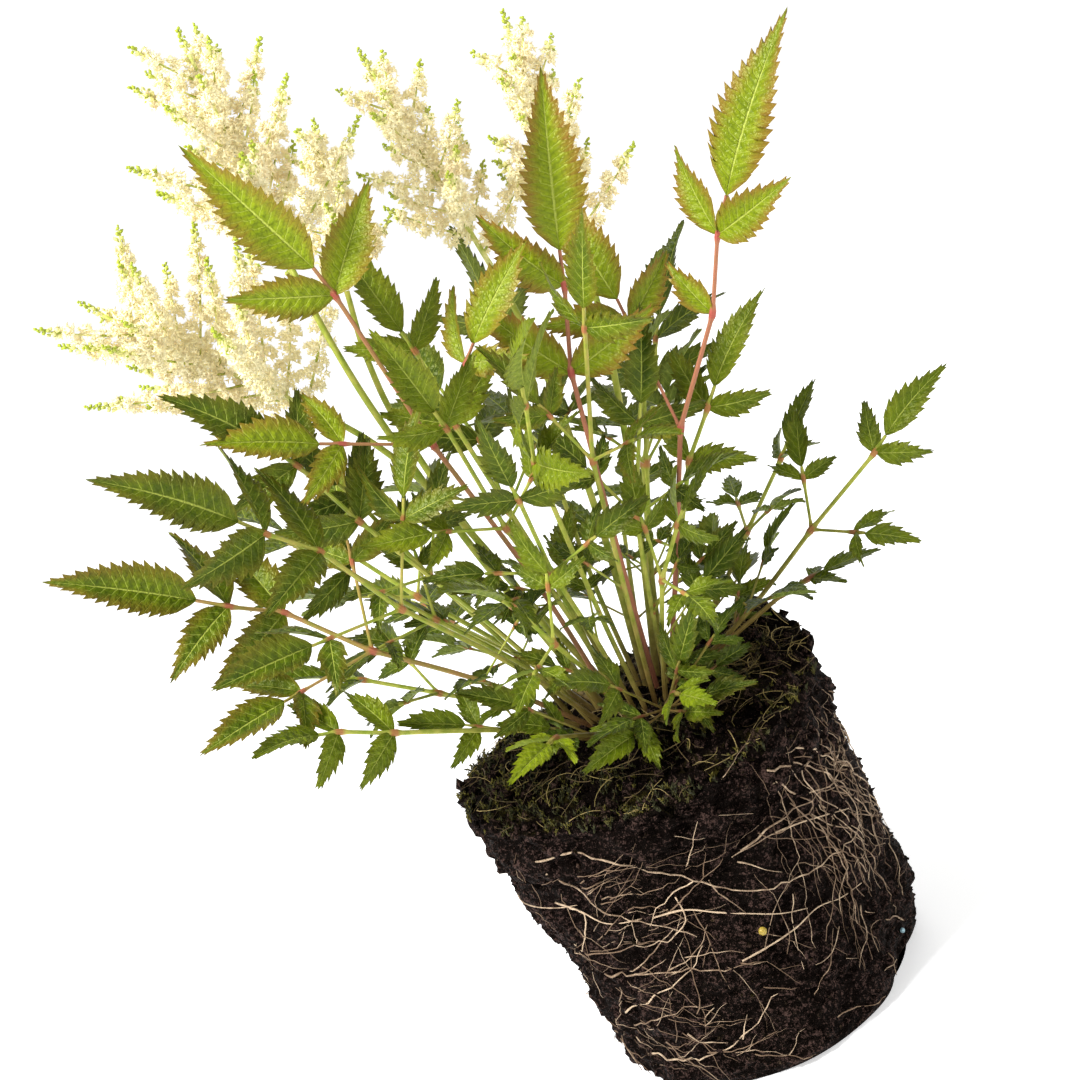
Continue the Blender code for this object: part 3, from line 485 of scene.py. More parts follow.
# The plainest roots, laid one by one: radius in mm, then (heading in degrees, height in mm) on the wall
LAID_ROOTS = (
    (0.55, ((-141, 124), (-124, 122), (-106, 104), (-88, 84), (-77, 76), (-64, 71), (-50, 69), (-33, 69))),
    (0.50, ((-140, 117), (-133, 104), (-124, 91), (-114, 82), (-105, 72))),
    (0.55, ((-142, 64), (-123, 62), (-110, 58), (-99, 54), (-91, 51))),
    (0.50, ((-144, 44), (-127, 52), (-117, 56), (-110, 61), (-105, 67))),
    (0.40, ((-105, 90), (-106, 80), (-114, 74), (-125, 76))),
    (0.50, ((-64, 121), (-54, 115), (-45, 104), (-37, 92), (-32, 79), (-27, 65), (-31, 52), (-37, 49))),
    (0.55, ((-64, 115), (-57, 104), (-52, 92), (-59, 93), (-70, 95), (-84, 96))),
    (0.45, ((-51, 120), (-39, 106), (-27, 89), (-14, 68), (-17, 50), (-19, 37), (-28, 28))),
    (0.35, ((-50, 69), (-51, 62), (-57, 54), (-59, 46))),
    (0.30, ((-72, 68), (-76, 56), (-80, 37))),
    (0.35, ((-50, 43), (-54, 30), (-62, 24))),
    (0.40, ((-27, 16), (-40, 27), (-50, 31), (-52, 22))),
    (0.55, ((-143, 97), (-137, 94), (-147, 76), (-150, 79))),
    (0.50, ((-152, 18), (-132, 18), (-118, 19), (-107, 23), (-96, 31), (-91, 34))),
    (0.45, ((-124, 32), (-122, 26), (-113, 22))),
    (0.40, ((-148, 35), (-133, 40), (-121, 43), (-111, 42))),
    (0.30, ((-62, 43), (-69, 36), (-76, 37))),
    (0.50, ((-80, 96), (-71, 98), (-62, 98), (-50, 95), (-41, 92))),
    (0.35, ((-51, 109), (-51, 99), (-45, 86), (-40, 70), (-35, 58))),
    (0.35, ((-33, 101), (-27, 83), (-20, 62), (-17, 44), (-24, 33))),
    (0.35, ((-42, 101), (-37, 86), (-34, 71), (-38, 61), (-48, 59))),
    (0.40, ((-97, 94), (-105, 93), (-112, 89), (-117, 83))),
)
# Name, place on the wall as above, radius and colour
SPECKS = (
    ("yellow_bead", (-86, 62), 1.7 * MM, (0.50, 0.36, 0.05)),
    ("pale_speck", (-31, 14), 1.1 * MM, (0.35, 0.55, 0.62)),
)
SPECK_RINGS = 9
SPECK_SIDES = 12
SPECK_POLE = 0.02 * MM
SPECK_DIM = 0.45

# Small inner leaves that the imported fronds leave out, with angles in degrees and stalks in mm
SPRIGS = 150
SPRIG_ATTEMPTS = 12 * SPRIGS
SPRIG_LEAF = (15 * MM, 29 * MM)
SPRIG_RADIUS = 0.55 * MM
SPRIG_GAP = CLEARANCE / 2
SPRIG_ROOTS = (0.25, 1.7)
SPRIG_LEANS = (30, 85)
SPRIG_STALKS = (10, 34)
SPRIG_STRAY = 10
SPRIG_TRIO = ((TRIO_ANGLE, 0.75), (-TRIO_ANGLE, 0.75), (0, 1.0))
SPRIG_FRESHNESS = (0.08, 0.5)
SPRIG_BLUSH = (0, 0.25)

# Stage
SENSOR_WIDTH = 36
FLOOR_RADIUS = 3.0
FLOOR_BEND = 1.5
FLOOR_DROP = 0.2 * MM
FLOOR_SIDES = 96
FLOOR_RINGS = 12
ROOM_LIGHT = 0.36
FLOOR_GLOW = 0.55
# Name, azimuth and lean from upright in degrees, distance and size in metres, power in watts
SOFTBOXES = (
    ("key light", -150, 42, 1.6, 0.6, 47),
    ("fill light", -45, 62, 1.8, 1.2, 6),
    ("back light", 60, 45, 1.8, 1.2, 9),
)


def direction(azimuth, lean):
    """The unit vector that leans from upright towards an azimuth, both in degrees."""
    turn, tilt = math.radians(azimuth), math.radians(lean)
    return Vector((math.sin(tilt) * math.cos(turn), math.sin(tilt) * math.sin(turn), math.cos(tilt)))


def soil_height(x, y):
    """Height of the soil surface at a point in plan."""
    from_crown = math.hypot(x - CROWN_X, y - CROWN_Y)
    mound = MOUND_RISE * math.exp(-((from_crown / MOUND_SPREAD) ** 2))
    left = LEFT_RISE * max(0.0, -x / BALL_TOP_RADIUS)
    front = FRONT_FALL * max(0.0, -y / BALL_TOP_RADIUS)
    lump = LUMP_RISE * math.exp(-((math.hypot(x - LUMP_X, y - LUMP_Y) / LUMP_SPREAD) ** 2))
    crumb = CRUMB_RISE * math.sin(x / CRUMB_X + 1) * math.sin(y / CRUMB_Y)
    return BALL_HEIGHT + mound + left - front + lump + crumb


def wall_relief(angle, height):
    """How far the peat stands out of the plain frustum: a rim band, soft lumps and a chipped foot."""
    band = RIM_STEP if height > BALL_HEIGHT - RIM_BAND - RIM_GROOVE / 2 else 0.0
    lumps = WALL_LUMP * math.sin(WALL_LUMPS_ROUND * angle + WALL_LUMP_CLIMB * height)
    lumps += WALL_RIPPLE * math.sin(WALL_RIPPLES_ROUND * angle - WALL_RIPPLE_CLIMB * height)
    chip_side = math.exp(-((angle_between(angle, CHIP_AT) / CHIP_WIDTH) ** 2))
    chip = CHIP_DEPTH * chip_side * math.exp(-((height / CHIP_TALL) ** 2))
    knob_side = math.exp(-((angle_between(angle, KNOB_AT) / KNOB_WIDTH) ** 2))
    knob = KNOB_DEPTH * knob_side * math.exp(-(((height - KNOB_HEIGHT) / KNOB_TALL) ** 2))
    return band + lumps - chip + knob


def angle_between(first, second):
    """The angle between two headings, in radians."""
    return abs((first - second + math.pi) % (2 * math.pi) - math.pi)


def crown_seat(azimuth, lean):
    """Where a stem leaves the soil: the more it leans, the further out."""
    radius = CROWN_INNER + (CROWN_OUTER - CROWN_INNER) * min(lean, 90) / 90
    turn = math.radians(azimuth)
    x = CROWN_X + radius * math.cos(turn)
    y = CROWN_Y + radius * math.sin(turn)
    return Vector((x, y, soil_height(x, y)))


def arched_route(seat, tip, azimuth, lean):
    """A quadratic curve from a seat to a tip that sets off with the given lean."""
    bend = seat + direction(azimuth, lean) * (0.5 * (tip - seat).length)
    return lambda t: seat * (1 - t) ** 2 + bend * (2 * t * (1 - t)) + tip * t**2


def leaf_face(azimuth):
    """The way a frond's upper face looks: up, and towards the light from the front or else outwards."""
    turn = math.radians(azimuth)
    if math.sin(turn) > 0:
        return Vector((FACE_OUTWARDS * math.cos(turn), FACE_OUTWARDS * math.sin(turn), 1)).normalized()
    return Vector((FACE_SIDEWAYS * math.cos(turn), -FACE_FORWARDS, 1)).normalized()


def turned(vector, axis, degrees):
    """A vector turned about an axis."""
    return Matrix.Rotation(math.radians(degrees), 3, axis) @ vector


def blade_rows(blade, grow=0.0):
    """A leaflet's tip, then its rib above and below and its left and right rims, as (share, point)."""
    length, width = blade.length + grow, blade.width + 2 * grow
    across = blade.facing.cross(blade.along).normalized()
    up = blade.along.cross(across)
    teeth = 3 if blade.length > BIG_BLADE else 2 if blade.length > SMALL_BLADE else 1

    def place(u, side):
        outline = math.sin(math.pi * u**BLADE_WIDEST) ** BLADE_DRAWN_OUT if 0 < u < 1 else 0.0
        out = side * outline * width / 2
        rise = BLADE_FOLD * abs(out) - BLADE_DROOP * length * u**2
        sideways = out + blade.hook * length * u**2
        return blade.root + blade.along * (length * u) + across * sideways + up * rise

    rim = [SHOULDER]
    for tooth in range(teeth):
        at = TEETH_START + TEETH_SPAN * (tooth + 0.5) / teeth
        rim += [(at, TOOTH_TIP), (at + NOTCH_STEP, TOOTH_NOTCH)]
    rib_stops = (1 / 3, 2 / 3) if teeth == 3 else (1 / 2,)
    half_rib = up * (BLADE_THICKNESS / 2 + grow)
    top, bottom = (
        [(u, place(u, 0) + half_rib * side * (1 - BLADE_TAPER * u)) for u in rib_stops]
        for side in (1, -1)
    )
    left, right = ([(u, place(u, side * part)) for u, part in rim] for side in (1, -1))
    return place(1, 0), top, bottom, left, right


def stitched(rib, rim):
    """Triangles between two rows of (share of length, point number) that share their ends."""
    i = j = 1
    yield rib[0][1], rib[1][1], rim[1][1]
    while i < len(rib) - 2 or j < len(rim) - 2:
        if j == len(rim) - 2 or (i < len(rib) - 2 and rib[i + 1][0] <= rim[j + 1][0]):
            yield rib[i][1], rib[i + 1][1], rim[j][1]
            i += 1
        else:
            yield rib[i][1], rim[j + 1][1], rim[j][1]
            j += 1
    yield rib[i][1], rib[i + 1][1], rim[j][1]


def frustum_radius(height):
    """The ball's plain radius below its rim band."""
    return BALL_BASE_RADIUS + (BALL_TOP_RADIUS - RIM_STEP - BALL_BASE_RADIUS) * height / BALL_HEIGHT


def add_blade(points, faces, loop, blade, grow=0.0):
    """Adds a folded, arched, toothed leaflet, thick at its rib, that grows out of a loop.

    The loop is four points of its foot: top left, top right, bottom right and bottom left.
    """
    tip, *rows = blade_rows(blade, grow)
    stored = []
    for row in rows:
        stored.append([(u, len(points) + i) for i, (u, _) in enumerate(row)])
        points.extend(point for _, point in row)
    top, bottom, left, right = stored
    end = (1.0, len(points))
    points.append(tip)
    for first, second, row in zip(loop, loop[1:] + loop[:1], (top, right, bottom, left)):
        faces.append((first, second, row[0][1]))
    for corner, rib, rim in zip(loop, (top, top, bottom, bottom), (left, right, right, left)):
        start = (0.0, corner)
        faces.extend(stitched([start, *rib, end], [start, *rim, end]))


def blade_shell(blade, grow):
    """A leaflet by itself, a little larger all round, for seeing what it would touch."""
    across = blade.facing.cross(blade.along).normalized() * (BLADE_FOOT + grow)
    up = blade.facing * (BLADE_FOOT + grow)
    points = [blade.root + across + up, blade.root - across + up,
              blade.root - across - up, blade.root + across - up]
    faces = [(3, 2, 1, 0)]
    add_blade(points, faces, [0, 1, 2, 3], blade, grow)
    return points, faces


def tube_shell(tube, grow):
    """A four-sided skin around a tube, for seeing what it would touch."""
    points, faces = [], []
    for i, point in enumerate(tube.points):
        ahead = tube.points[min(i + 1, len(tube.points) - 1)] - tube.points[max(i - 1, 0)]
        side = ahead.orthogonal().normalized() * (tube.radii[i] + grow)
        other = side.cross(ahead.normalized())
        points += [point + side, point + other, point - side, point - other]
        if i:
            for k in range(4):
                a, b = 4 * i - 4 + k, 4 * i - 4 + (k + 1) % 4
                faces.append((a, b, b + 4, a + 4))
    return points, faces


def spike_point(spike, u, turn, radius):
    """A point on a plume spike: u along its upward-curving middle line, turned about it at a radius."""
    across = spike.facing.cross(spike.along).normalized()
    up = spike.along.cross(across)
    middle = spike.foot + spike.along * (spike.length * u) + up * (SPIKE_CURL * spike.length * u**2)
    return middle + (across * math.cos(turn) + up * math.sin(turn)) * radius


def spike_girth(spike, u):
    """A spike's radius: bare at the foot, full over the lower half and drawn out to a budded tip."""
    foot = min(1.0, SPIKE_FOOT + u / SPIKE_FOOT_LENGTH)
    tip = SPIKE_TIP + (1 - SPIKE_TIP) * max(0.0, 1 - u) ** SPIKE_TAPER
    return spike.radius * foot * tip


def spike_shell(spike, grow):
    """A plain skin around a spike, for seeing what it would touch."""
    points, faces = [], []
    sides = rings = SPIKE_SIDES
    for ring in range(rings + 1):
        u = ring / rings
        for k in range(sides):
            radius = spike_girth(spike, u) * STUD_OUT + grow
            points.append(spike_point(spike, u, 2 * math.pi * k / sides, radius))
            if ring:
                a, b = (ring - 1) * sides + k, (ring - 1) * sides + (k + 1) % sides
                faces.append((a, b, b + sides, a + sides))
    return points, faces


class Space:
    """What is placed so far. It tells whether a further stalk, leaflet or spike would touch it."""

    def __init__(self):
        self.taken = []

    def clear(self, shell, own="", joint=None, buried=False):
        """Whether a shell is out of the soil and touches only its own stalks and joint's leaflets."""
        points, faces = shell
        if not buried and any(in_soil(point) for point in points):
            return False
        tree = BVHTree.FromPolygons(points, faces)
        low, high = box_of(points)
        for owner, at, other_low, other_high, other in self.taken:
            if owner == own or (joint is not None and at == joint):
                continue
            if any(low[k] > other_high[k] or high[k] < other_low[k] for k in range(3)):
                continue
            if tree.overlap(other):
                return False
        return True

    def take_stalk(self, points, radii, owner):
        """Takes a stalk's whole length, and by themselves its stretches away from joints.

        Its own leaflets keep clear of those stretches only.
        """
        self.take(tube_shell(Tube(points, radii), 0), owner)
        for first, second, radius in zip(points, points[1:], radii):
            reach = second - first
            if reach.length > BARE_STRETCH:
                inset = reach.normalized() * JOINT_SPACE
                stretch = Tube([first + inset, second - inset], [radius] * 2)
                self.take(tube_shell(stretch, 0), owner + " between")

    def take(self, shell, owner, joint=None):
        """Takes the room of a shell for its owner, at a joint if it has one."""
        points, faces = shell
        self.taken.append((owner, joint, *box_of(points), BVHTree.FromPolygons(points, faces)))


def box_of(points):
    """The lowest and highest corners of some points."""
    return [min(p[k] for p in points) for k in range(3)], [max(p[k] for p in points) for k in range(3)]


def in_soil(point):
    """Whether a point above ground level is under the soil surface or inside the root ball's wall."""
    over_ball = math.hypot(point.x, point.y) < BALL_TOP_RADIUS + WALL_GAP
    return over_ball and point.z < soil_height(point.x, point.y) + SOIL_GAP


def nudges(*sizes):
    """Pairs of small turns to try in order, the unturned one first."""
    yield 0, 0
    for size in sizes:
        for first, second in ((1, 0), (-1, 0), (0, 1), (0, -1), (1, 1), (-1, 1), (1, -1), (-1, -1)):
            yield first * size, second * size


def plan_plume(plume, space):
    """The stalk, plume axis and spikes of one flower, with each spike turned until it is clear."""
    seat = crown_seat(plume.azimuth, plume.lean)
    stalk_tip = seat + direction(plume.azimuth, plume.lean) * plume.reach * MM
    rise = direction(plume.top_azimuth, plume.top_lean)
    bend = stalk_tip - rise * (plume.reach * MM * STALK_BEND)
    points = [seat * (1 - t) ** 2 + bend * (2 * t * (1 - t)) + stalk_tip * t**2 for t in STALK_STOPS]
    points.insert(0, seat - (bend - seat).normalized() * STEM_SUNK)
    stalk = Tube(points, [STALK_RADIUS * (1 - STALK_THINNING * i) for i in range(len(points))])
    foot = stalk_tip + rise * FIT_GAP
    axis = Tube([foot, foot + rise * (plume.length * MM * PLUME_AXIS_SHARE)], [PLUME_AXIS_RADIUS] * 2)
    name = "plume_" + plume.name
    space.take(tube_shell(stalk, 0), "flower_stalk_" + plume.name)
    space.take(tube_shell(axis, 0), name)
    top_length = plume.length * MM * TOP_SPIKE_SHARE
    top_foot = foot + rise * (plume.length * MM - top_length)
    top = Spike(top_foot, rise, Vector((0, 1, 0)), top_length, SPIKE_RADIUS)
    spikes = [top]
    space.take(spike_shell(top, 0), name)
    for i in range(plume.spikes):
        share = LOWEST_SPIKE + SPIKE_SPAN * i / (plume.spikes - 1)
        length = plume.spread * MM * (1 - SPIKE_SHORTENING * share)
        radius = SPIKE_RADIUS * (1 - SPIKE_SLIMMING * share)
        root = foot + rise * (plume.length * MM * share)
        for turn, dip in nudges(*SPIKE_TURNS):
            heading = direction(GOLDEN_ANGLE * i + turn, SPIKE_LEAN - SPIKE_LEAN_LOSS * share + dip / 2)
            along = turned(heading, UP.cross(rise), plume.top_lean / 2)
            spike = Spike(root, along, UP, length, radius)
            if space.clear(spike_shell(spike, CLEARANCE), name):
                spikes.append(spike)
                space.take(spike_shell(spike, 0), name)
                break
    return stalk, axis, spikes


def clear_way(frond, space):
    """The rachis of one frond, its foot moved about the crown until it touches nothing."""
    for turn, shift in nudges(*SEAT_TURNS):
        way = rachis_route(frond, turn, shift)
        foot = tube_shell(Tube(way.points[:3], way.radii[:3]), CLEARANCE)
        stem = tube_shell(Tube(way.points[2:], way.radii[2:]), CLEARANCE)
        if space.clear(foot, buried=True) and space.clear(stem):
            space.take_stalk(way.points, way.radii, frond.name + " stalks")
            return way
    raise ValueError(frond.name + " finds no clear way up")


def plan_frond(frond, way, space):
    """One frond: its rachis with its side stalks and leaflets, each turned until clear, or left out."""
    own = frond.name + " stalks"
    points = way.points
    face = leaf_face(frond.azimuth)
    draw = random.Random(frond.name)
    leaf = frond.leaf * MM

    def leaflet(root, along, angle, length, width):
        """A leaflet at a joint, turned and if need be shortened until nothing touches it, or None."""
        facing = (face - along * face.dot(along)).normalized()
        base = turned(along, facing, angle)
        facing = turned(facing, base, draw.uniform(-LEAFLET_TWIST, LEAFLET_TWIST))
        length *= draw.uniform(*LEAFLET_LENGTHS)
        hook = draw.uniform(-BLADE_HOOK, BLADE_HOOK)
        across = facing.cross(base).normalized()
        for size in LEAFLET_SIZES:
            for yaw, pitch in nudges(*LEAFLET_TURNS):
                heading = turned(turned(base, facing, yaw), across, pitch)
                blade = Blade(root, heading, facing, length * size, length * size * width, hook)
                if space.clear(blade_shell(blade, CLEARANCE), own, root):
                    space.take(blade_shell(blade, 0), frond.name, root)
                    return blade
        return None

    def side_stalk(root, along, side, share):
        """A side stalk with its trio of leaflets, or None where it would touch something."""
        facing = (face - along * face.dot(along)).normalized()
        angle = side * (SIDE_STALK_ANGLE + draw.uniform(-SIDE_STALK_STRAY, SIDE_STALK_STRAY))
        for yaw, pitch in nudges(*SIDE_STALK_TURNS):
            heading = turned(along, facing, angle + yaw)
            heading = turned(heading, facing.cross(heading).normalized(), pitch + SIDE_STALK_RISE)
            fork = root + heading * (leaf * (SIDE_STALK_LENGTH - SIDE_STALK_SHRINK * share))
            end = fork + heading * (leaf * TRIO_END * END_STALK)
            if space.clear(tube_shell(Tube([root, end], [SIDE_STALK_RADIUS] * 2), CLEARANCE), own):
                break
        else:
            return None
        half = heading * (JOINT_LENGTH / 2)
        points = [fork - half, fork + half, end]
        space.take_stalk([root, fork, end], [SIDE_STALK_RADIUS] * 3, own)
        borne = {
            (0, side): leaflet(fork, heading, side * TRIO_ANGLE, leaf * TRIO_SIDE, SIDE_BLADE_WIDTH)
            for side in (1, -1)
        }
        last = leaflet(end, heading, 0, leaf * TRIO_END, SIDE_BLADE_WIDTH)
        return Stalk(points, [SIDE_STALK_RADIUS] * 3, facing, borne, last)

    onward = (way.tip - points[-1]).normalized()
    end = leaflet(points[-1], onward, 0, leaf, END_BLADE_WIDTH)
    borne = {}
    for share, kind, station in way.joints:
        joint = (points[station] + points[station + 1]) / 2
        along = (points[station + 2] - points[station + 1]).normalized()
        if kind in (TRIO, LEFT_TRIO):
            for side in (1,) if kind == LEFT_TRIO else (1, -1):
                borne[station, side] = side_stalk(joint, along, side, share)
            continue
        for side, angle, length in LEAFLETS_AT[kind]:
            angle = side * (angle + draw.uniform(-LEAFLET_STRAY, LEAFLET_STRAY))
            borne[station, side] = leaflet(joint, along, angle, leaf * length, SIDE_BLADE_WIDTH)
    return Stalk(points, way.radii, face, borne, end)


def rachis_route(frond, turn, shift):
    """The rachis from its sunk foot up, with its joints and the place of its end leaflet's tip.

    Its foot is turned about the crown and shifted outwards, while its tip stays at its place.
    """
    tip = crown_seat(frond.azimuth, frond.lean)
    tip = tip + direction(frond.azimuth, frond.lean) * frond.reach * MM
    seat = crown_seat(frond.azimuth + turn, frond.lean + shift)
    route = arched_route(seat, tip, frond.azimuth, frond.lean - frond.arch)
    end = 1 - frond.leaf * (1 + END_STALK) / frond.reach
    face = leaf_face(frond.azimuth)
    foot = seat - (route(SEAT_STEP) - seat).normalized() * STEM_SUNK
    points = [foot, seat, route(PETIOLE_BEND * end)]
    joints = []
    for i, (share, kind) in enumerate(frond.form):
        onward = (route(end * share + JOINT_STEP) - route(end * share)).normalized()
        sideways = face.cross(onward).normalized() * (-1) ** i * (1 + ZIGZAG * frond.reach) * MM
        joint = route(end * share) + sideways * (share < 1)
        joints.append((share, kind, len(points)))
        points += [joint - onward * (JOINT_LENGTH / 2), joint + onward * (JOINT_LENGTH / 2)]
    points.append(points[-1] + (route(1) - points[-1]).normalized() * (frond.leaf * MM * END_STALK))
    last = len(points) - 1
    radii = [PETIOLE_RADIUS + (RACHIS_RADIUS - PETIOLE_RADIUS) * i / last for i in range(last + 1)]
    return Way(points, radii, joints, route(1))


def plan_plant():
    """The space with every plume and frond: plumes first, then every rachis, then what it bears."""
    space = Space()
    plumes = {plume.name: plan_plume(plume, space) for plume in PLUMES}
    ways = [clear_way(frond, space) for frond in FRONDS]
    fronds = {frond.name: plan_frond(frond, way, space) for frond, way in zip(FRONDS, ways)}
    return Plan(space, plumes, fronds)


PLAN = plan_plant()


# Numbers in a finish: expressions on values add their own Math nodes
class Level:
    """A number that varies over a surface. Arithmetic on it adds Math nodes to its finish."""

    def __init__(self, finish, socket):
        self.finish = finish
        self.socket = socket

    def maths(self, operation, first, second=None):
        """The outcome of a Math node on one or two numbers."""
        values = [first] if second is None else [first, second]
        made = self.finish.node("ShaderNodeMath", {"operation": operation}, values)
        return Level(self.finish, made.outputs[0])

    def __add__(self, other):
        return self.maths("ADD", self, other)

    __radd__ = __add__

    def __sub__(self, other):
        return self.maths("SUBTRACT", self, other)

    def __rsub__(self, other):
        return self.maths("SUBTRACT", other, self)

    def __mul__(self, other):
        return self.maths("MULTIPLY", self, other)

    __rmul__ = __mul__

    def __abs__(self):
        return self.maths("ABSOLUTE", self)

    def fraction(self):
        """What is past the whole number below."""
        return self.maths("FRACT", self)

    def ramp(self, low, high):
        """The number carried smoothly from a range to 0 and 1, and held at its ends."""
        values = {"Value": self, "From Min": low, "From Max": high}
        made = self.finish.node("ShaderNodeMapRange", {"interpolation_type": "SMOOTHSTEP"}, values)
        return Level(self.finish, made.outputs["Result"])


class Finish:
    """One material of the plant, built up node by node round its Principled BSDF."""

    def __init__(self, name, **plain):
        self.material = bpy.data.materials.new(name)
        self.material.use_nodes = True
        self.tree = self.material.node_tree
        self.shader = self.tree.nodes["Principled BSDF"]
        for name, value in plain.items():
            socket = name.replace("_", " ").title().replace("Ior", "IOR")
            self.shader.inputs[socket].default_value = value

    def node(self, kind, settings=None, values=None):
        """A node of a type, with its settings set first and then its sockets set or linked."""
        made = self.tree.nodes.new(kind)
        for name, value in (settings or {}).items():
            setattr(made, name, value)
        pairs = values.items() if isinstance(values, dict) else enumerate(values or [])
        for name, value in pairs:
            self.set_socket(made.inputs[name], value)
        return made

    def set_socket(self, socket, value):
        """Links a socket to what varies, or sets it to a plain value."""
        if isinstance(value, Level):
            self.tree.links.new(value.socket, socket)
        elif isinstance(value, bpy.types.NodeSocket):
            self.tree.links.new(value, socket)
        elif socket.type == "RGBA":
            socket.default_value = (*value[:3], 1)
        else:
            socket.default_value = value

    def told(self, name):
        """The three numbers that a mesh holds at each point under a name."""
        read = self.node("ShaderNodeAttribute", {"attribute_name": name})
        parts = self.node("ShaderNodeSeparateXYZ", {}, [read.outputs["Vector"]])
        return [Level(self, output) for output in parts.outputs]

    def place(self):
        """The place of each point in the plant's own metres."""
        return self.node("ShaderNodeTexCoord").outputs["Object"]

    def noise(self, size, detail, roughness=0.6):
        """Cloudy variation from 0 to 1, with blobs about a given size in metres."""
        values = {"Vector": self.place(), "Scale": 1 / size, "Detail": detail, "Roughness": roughness}
        return Level(self, self.node("ShaderNodeTexNoise", {}, values).outputs[0])

    def cells(self, size):
        """Distance to the middle of irregular cells about a given size in metres."""
        made = self.node("ShaderNodeTexVoronoi", {}, {"Vector": self.place(), "Scale": 1 / size})
        return Level(self, made.outputs["Distance"])

    def mixed(self, amount, first, second):
        """Two colours mixed by an amount."""
        settings = {"data_type": "RGBA", "blend_type": "MIX", "clamp_factor": True}
        return self.node("ShaderNodeMix", settings, {0: amount, 6: first, 7: second}).outputs[2]

    def bump(self, height, distance, strength=1.0):
        """Relief of a given depth in metres, fed to the normal."""
        values = {"Strength": strength, "Distance": distance, "Height": height}
        made = self.node("ShaderNodeBump", {}, values)
        self.set_socket(self.shader.inputs["Normal"], made.outputs["Normal"])

    def paint(self, colour, roughness):
        """The finished material, with its colour and roughness linked."""
        self.set_socket(self.shader.inputs["Base Color"], colour)
        self.set_socket(self.shader.inputs["Roughness"], roughness)
        return self.material

    def glow(self, colour):
        """Lets the material shine faintly in a colour."""
        self.set_socket(self.shader.inputs["Emission Color"], colour)


# Meshes gathered from arrays of points, faces and the numbers that their finishes read
class Gathering:
    """The points, faces and told numbers of one piece, gathered part by part."""

    def __init__(self, *names):
        self.names = names
        self.points = []
        self.told = {name: [] for name in names}
        self.faces = []
        self.finish_of = []
        self.count = 0

    def add(self, points, faces, finish=0, **told):
        """Adds points with their faces, the number of their finish and what its nodes are told."""
        points = np.asarray(points, float).reshape(-1, 3)
        self.points.append(points)
        for name in self.names:
            value = np.asarray(told.get(name, (0, 0, 0)), float)
            self.told[name].append(np.broadcast_to(value, (len(points), 3)))
        faces = np.asarray(faces, int) + self.count
        self.faces.append(faces)
        self.finish_of.append(np.full(len(faces), finish))
        self.count += len(points)

    def made(self, name, finishes, sharp=180):
        """The piece as a mesh object of triangles and quads, with its finishes and told numbers."""
        points = np.concatenate(self.points)
        sizes = np.concatenate([np.full(len(part), part.shape[1]) for part in self.faces])
        loops = np.concatenate([part.ravel() for part in self.faces])
        mesh = bpy.data.meshes.new(name)
        mesh.vertices.add(len(points))
        mesh.vertices.foreach_set("co", points.ravel())
        mesh.loops.add(len(loops))
        mesh.loops.foreach_set("vertex_index", loops)
        mesh.polygons.add(len(sizes))
        mesh.polygons.foreach_set("loop_start", np.concatenate([[0], np.cumsum(sizes)[:-1]]))
        mesh.polygons.foreach_set("material_index", np.concatenate(self.finish_of))
        mesh.update(calc_edges=True)
        for told, parts in self.told.items():
            values = mesh.attributes.new(told, "FLOAT_VECTOR", "POINT")
            values.data.foreach_set("vector", np.concatenate(parts).ravel())
        for finish in finishes:
            mesh.materials.append(finish)
        mesh.shade_smooth()
        if sharp < 180:
            mesh.set_sharp_from_angle(angle=math.radians(sharp))
        piece = bpy.data.objects.new(name, mesh)
        bpy.context.scene.collection.objects.link(piece)
        return piece


def dressed(piece, slot, *nodes):
    """Lets a piece ride on the plant and stand for its nodes; its slot is not used."""
    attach(piece, BODY)
    if nodes:
        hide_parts(*nodes)
    return piece


def unit(rows):
    """Rows of vectors, each made one long."""
    return rows / np.maximum(np.linalg.norm(rows, axis=-1, keepdims=True), 1e-12)


def smooth_path(points, spacing):
    """A smooth path through points, with a point about every spacing, and each point's station."""
    knots = np.array([tuple(point) for point in points])
    ends = np.vstack([2 * knots[0] - knots[1], knots, 2 * knots[-1] - knots[-2]])
    path, stations = [], []
    for i in range(len(knots) - 1):
        a, b, c, d = ends[i : i + 4]
        steps = max(1, round(np.linalg.norm(c - b) / spacing))
        for t in np.arange(steps) / steps:
            path.append(0.5 * (2 * b + (c - a) * t + (2 * a - 5 * b + 4 * c - d) * t**2
                               + (3 * b - a - 3 * c + d) * t**3))
            stations.append(i + t)
    path.append(knots[-1])
    stations.append(len(knots) - 1)
    return np.array(path), np.array(stations)


def ring_quads(rings, around):
    """Quads between rings of points, each ring closed on itself."""
    i, k = np.meshgrid(np.arange(rings - 1), np.arange(around), indexing="ij")
    a, b = i * around + k, i * around + (k + 1) % around
    return np.stack([a, b, b + around, a + around], -1).reshape(-1, 4)


def halved(quads):
    """Each quad as two triangles."""
    return np.vstack([quads[:, [0, 1, 2]], quads[:, [0, 2, 3]]])


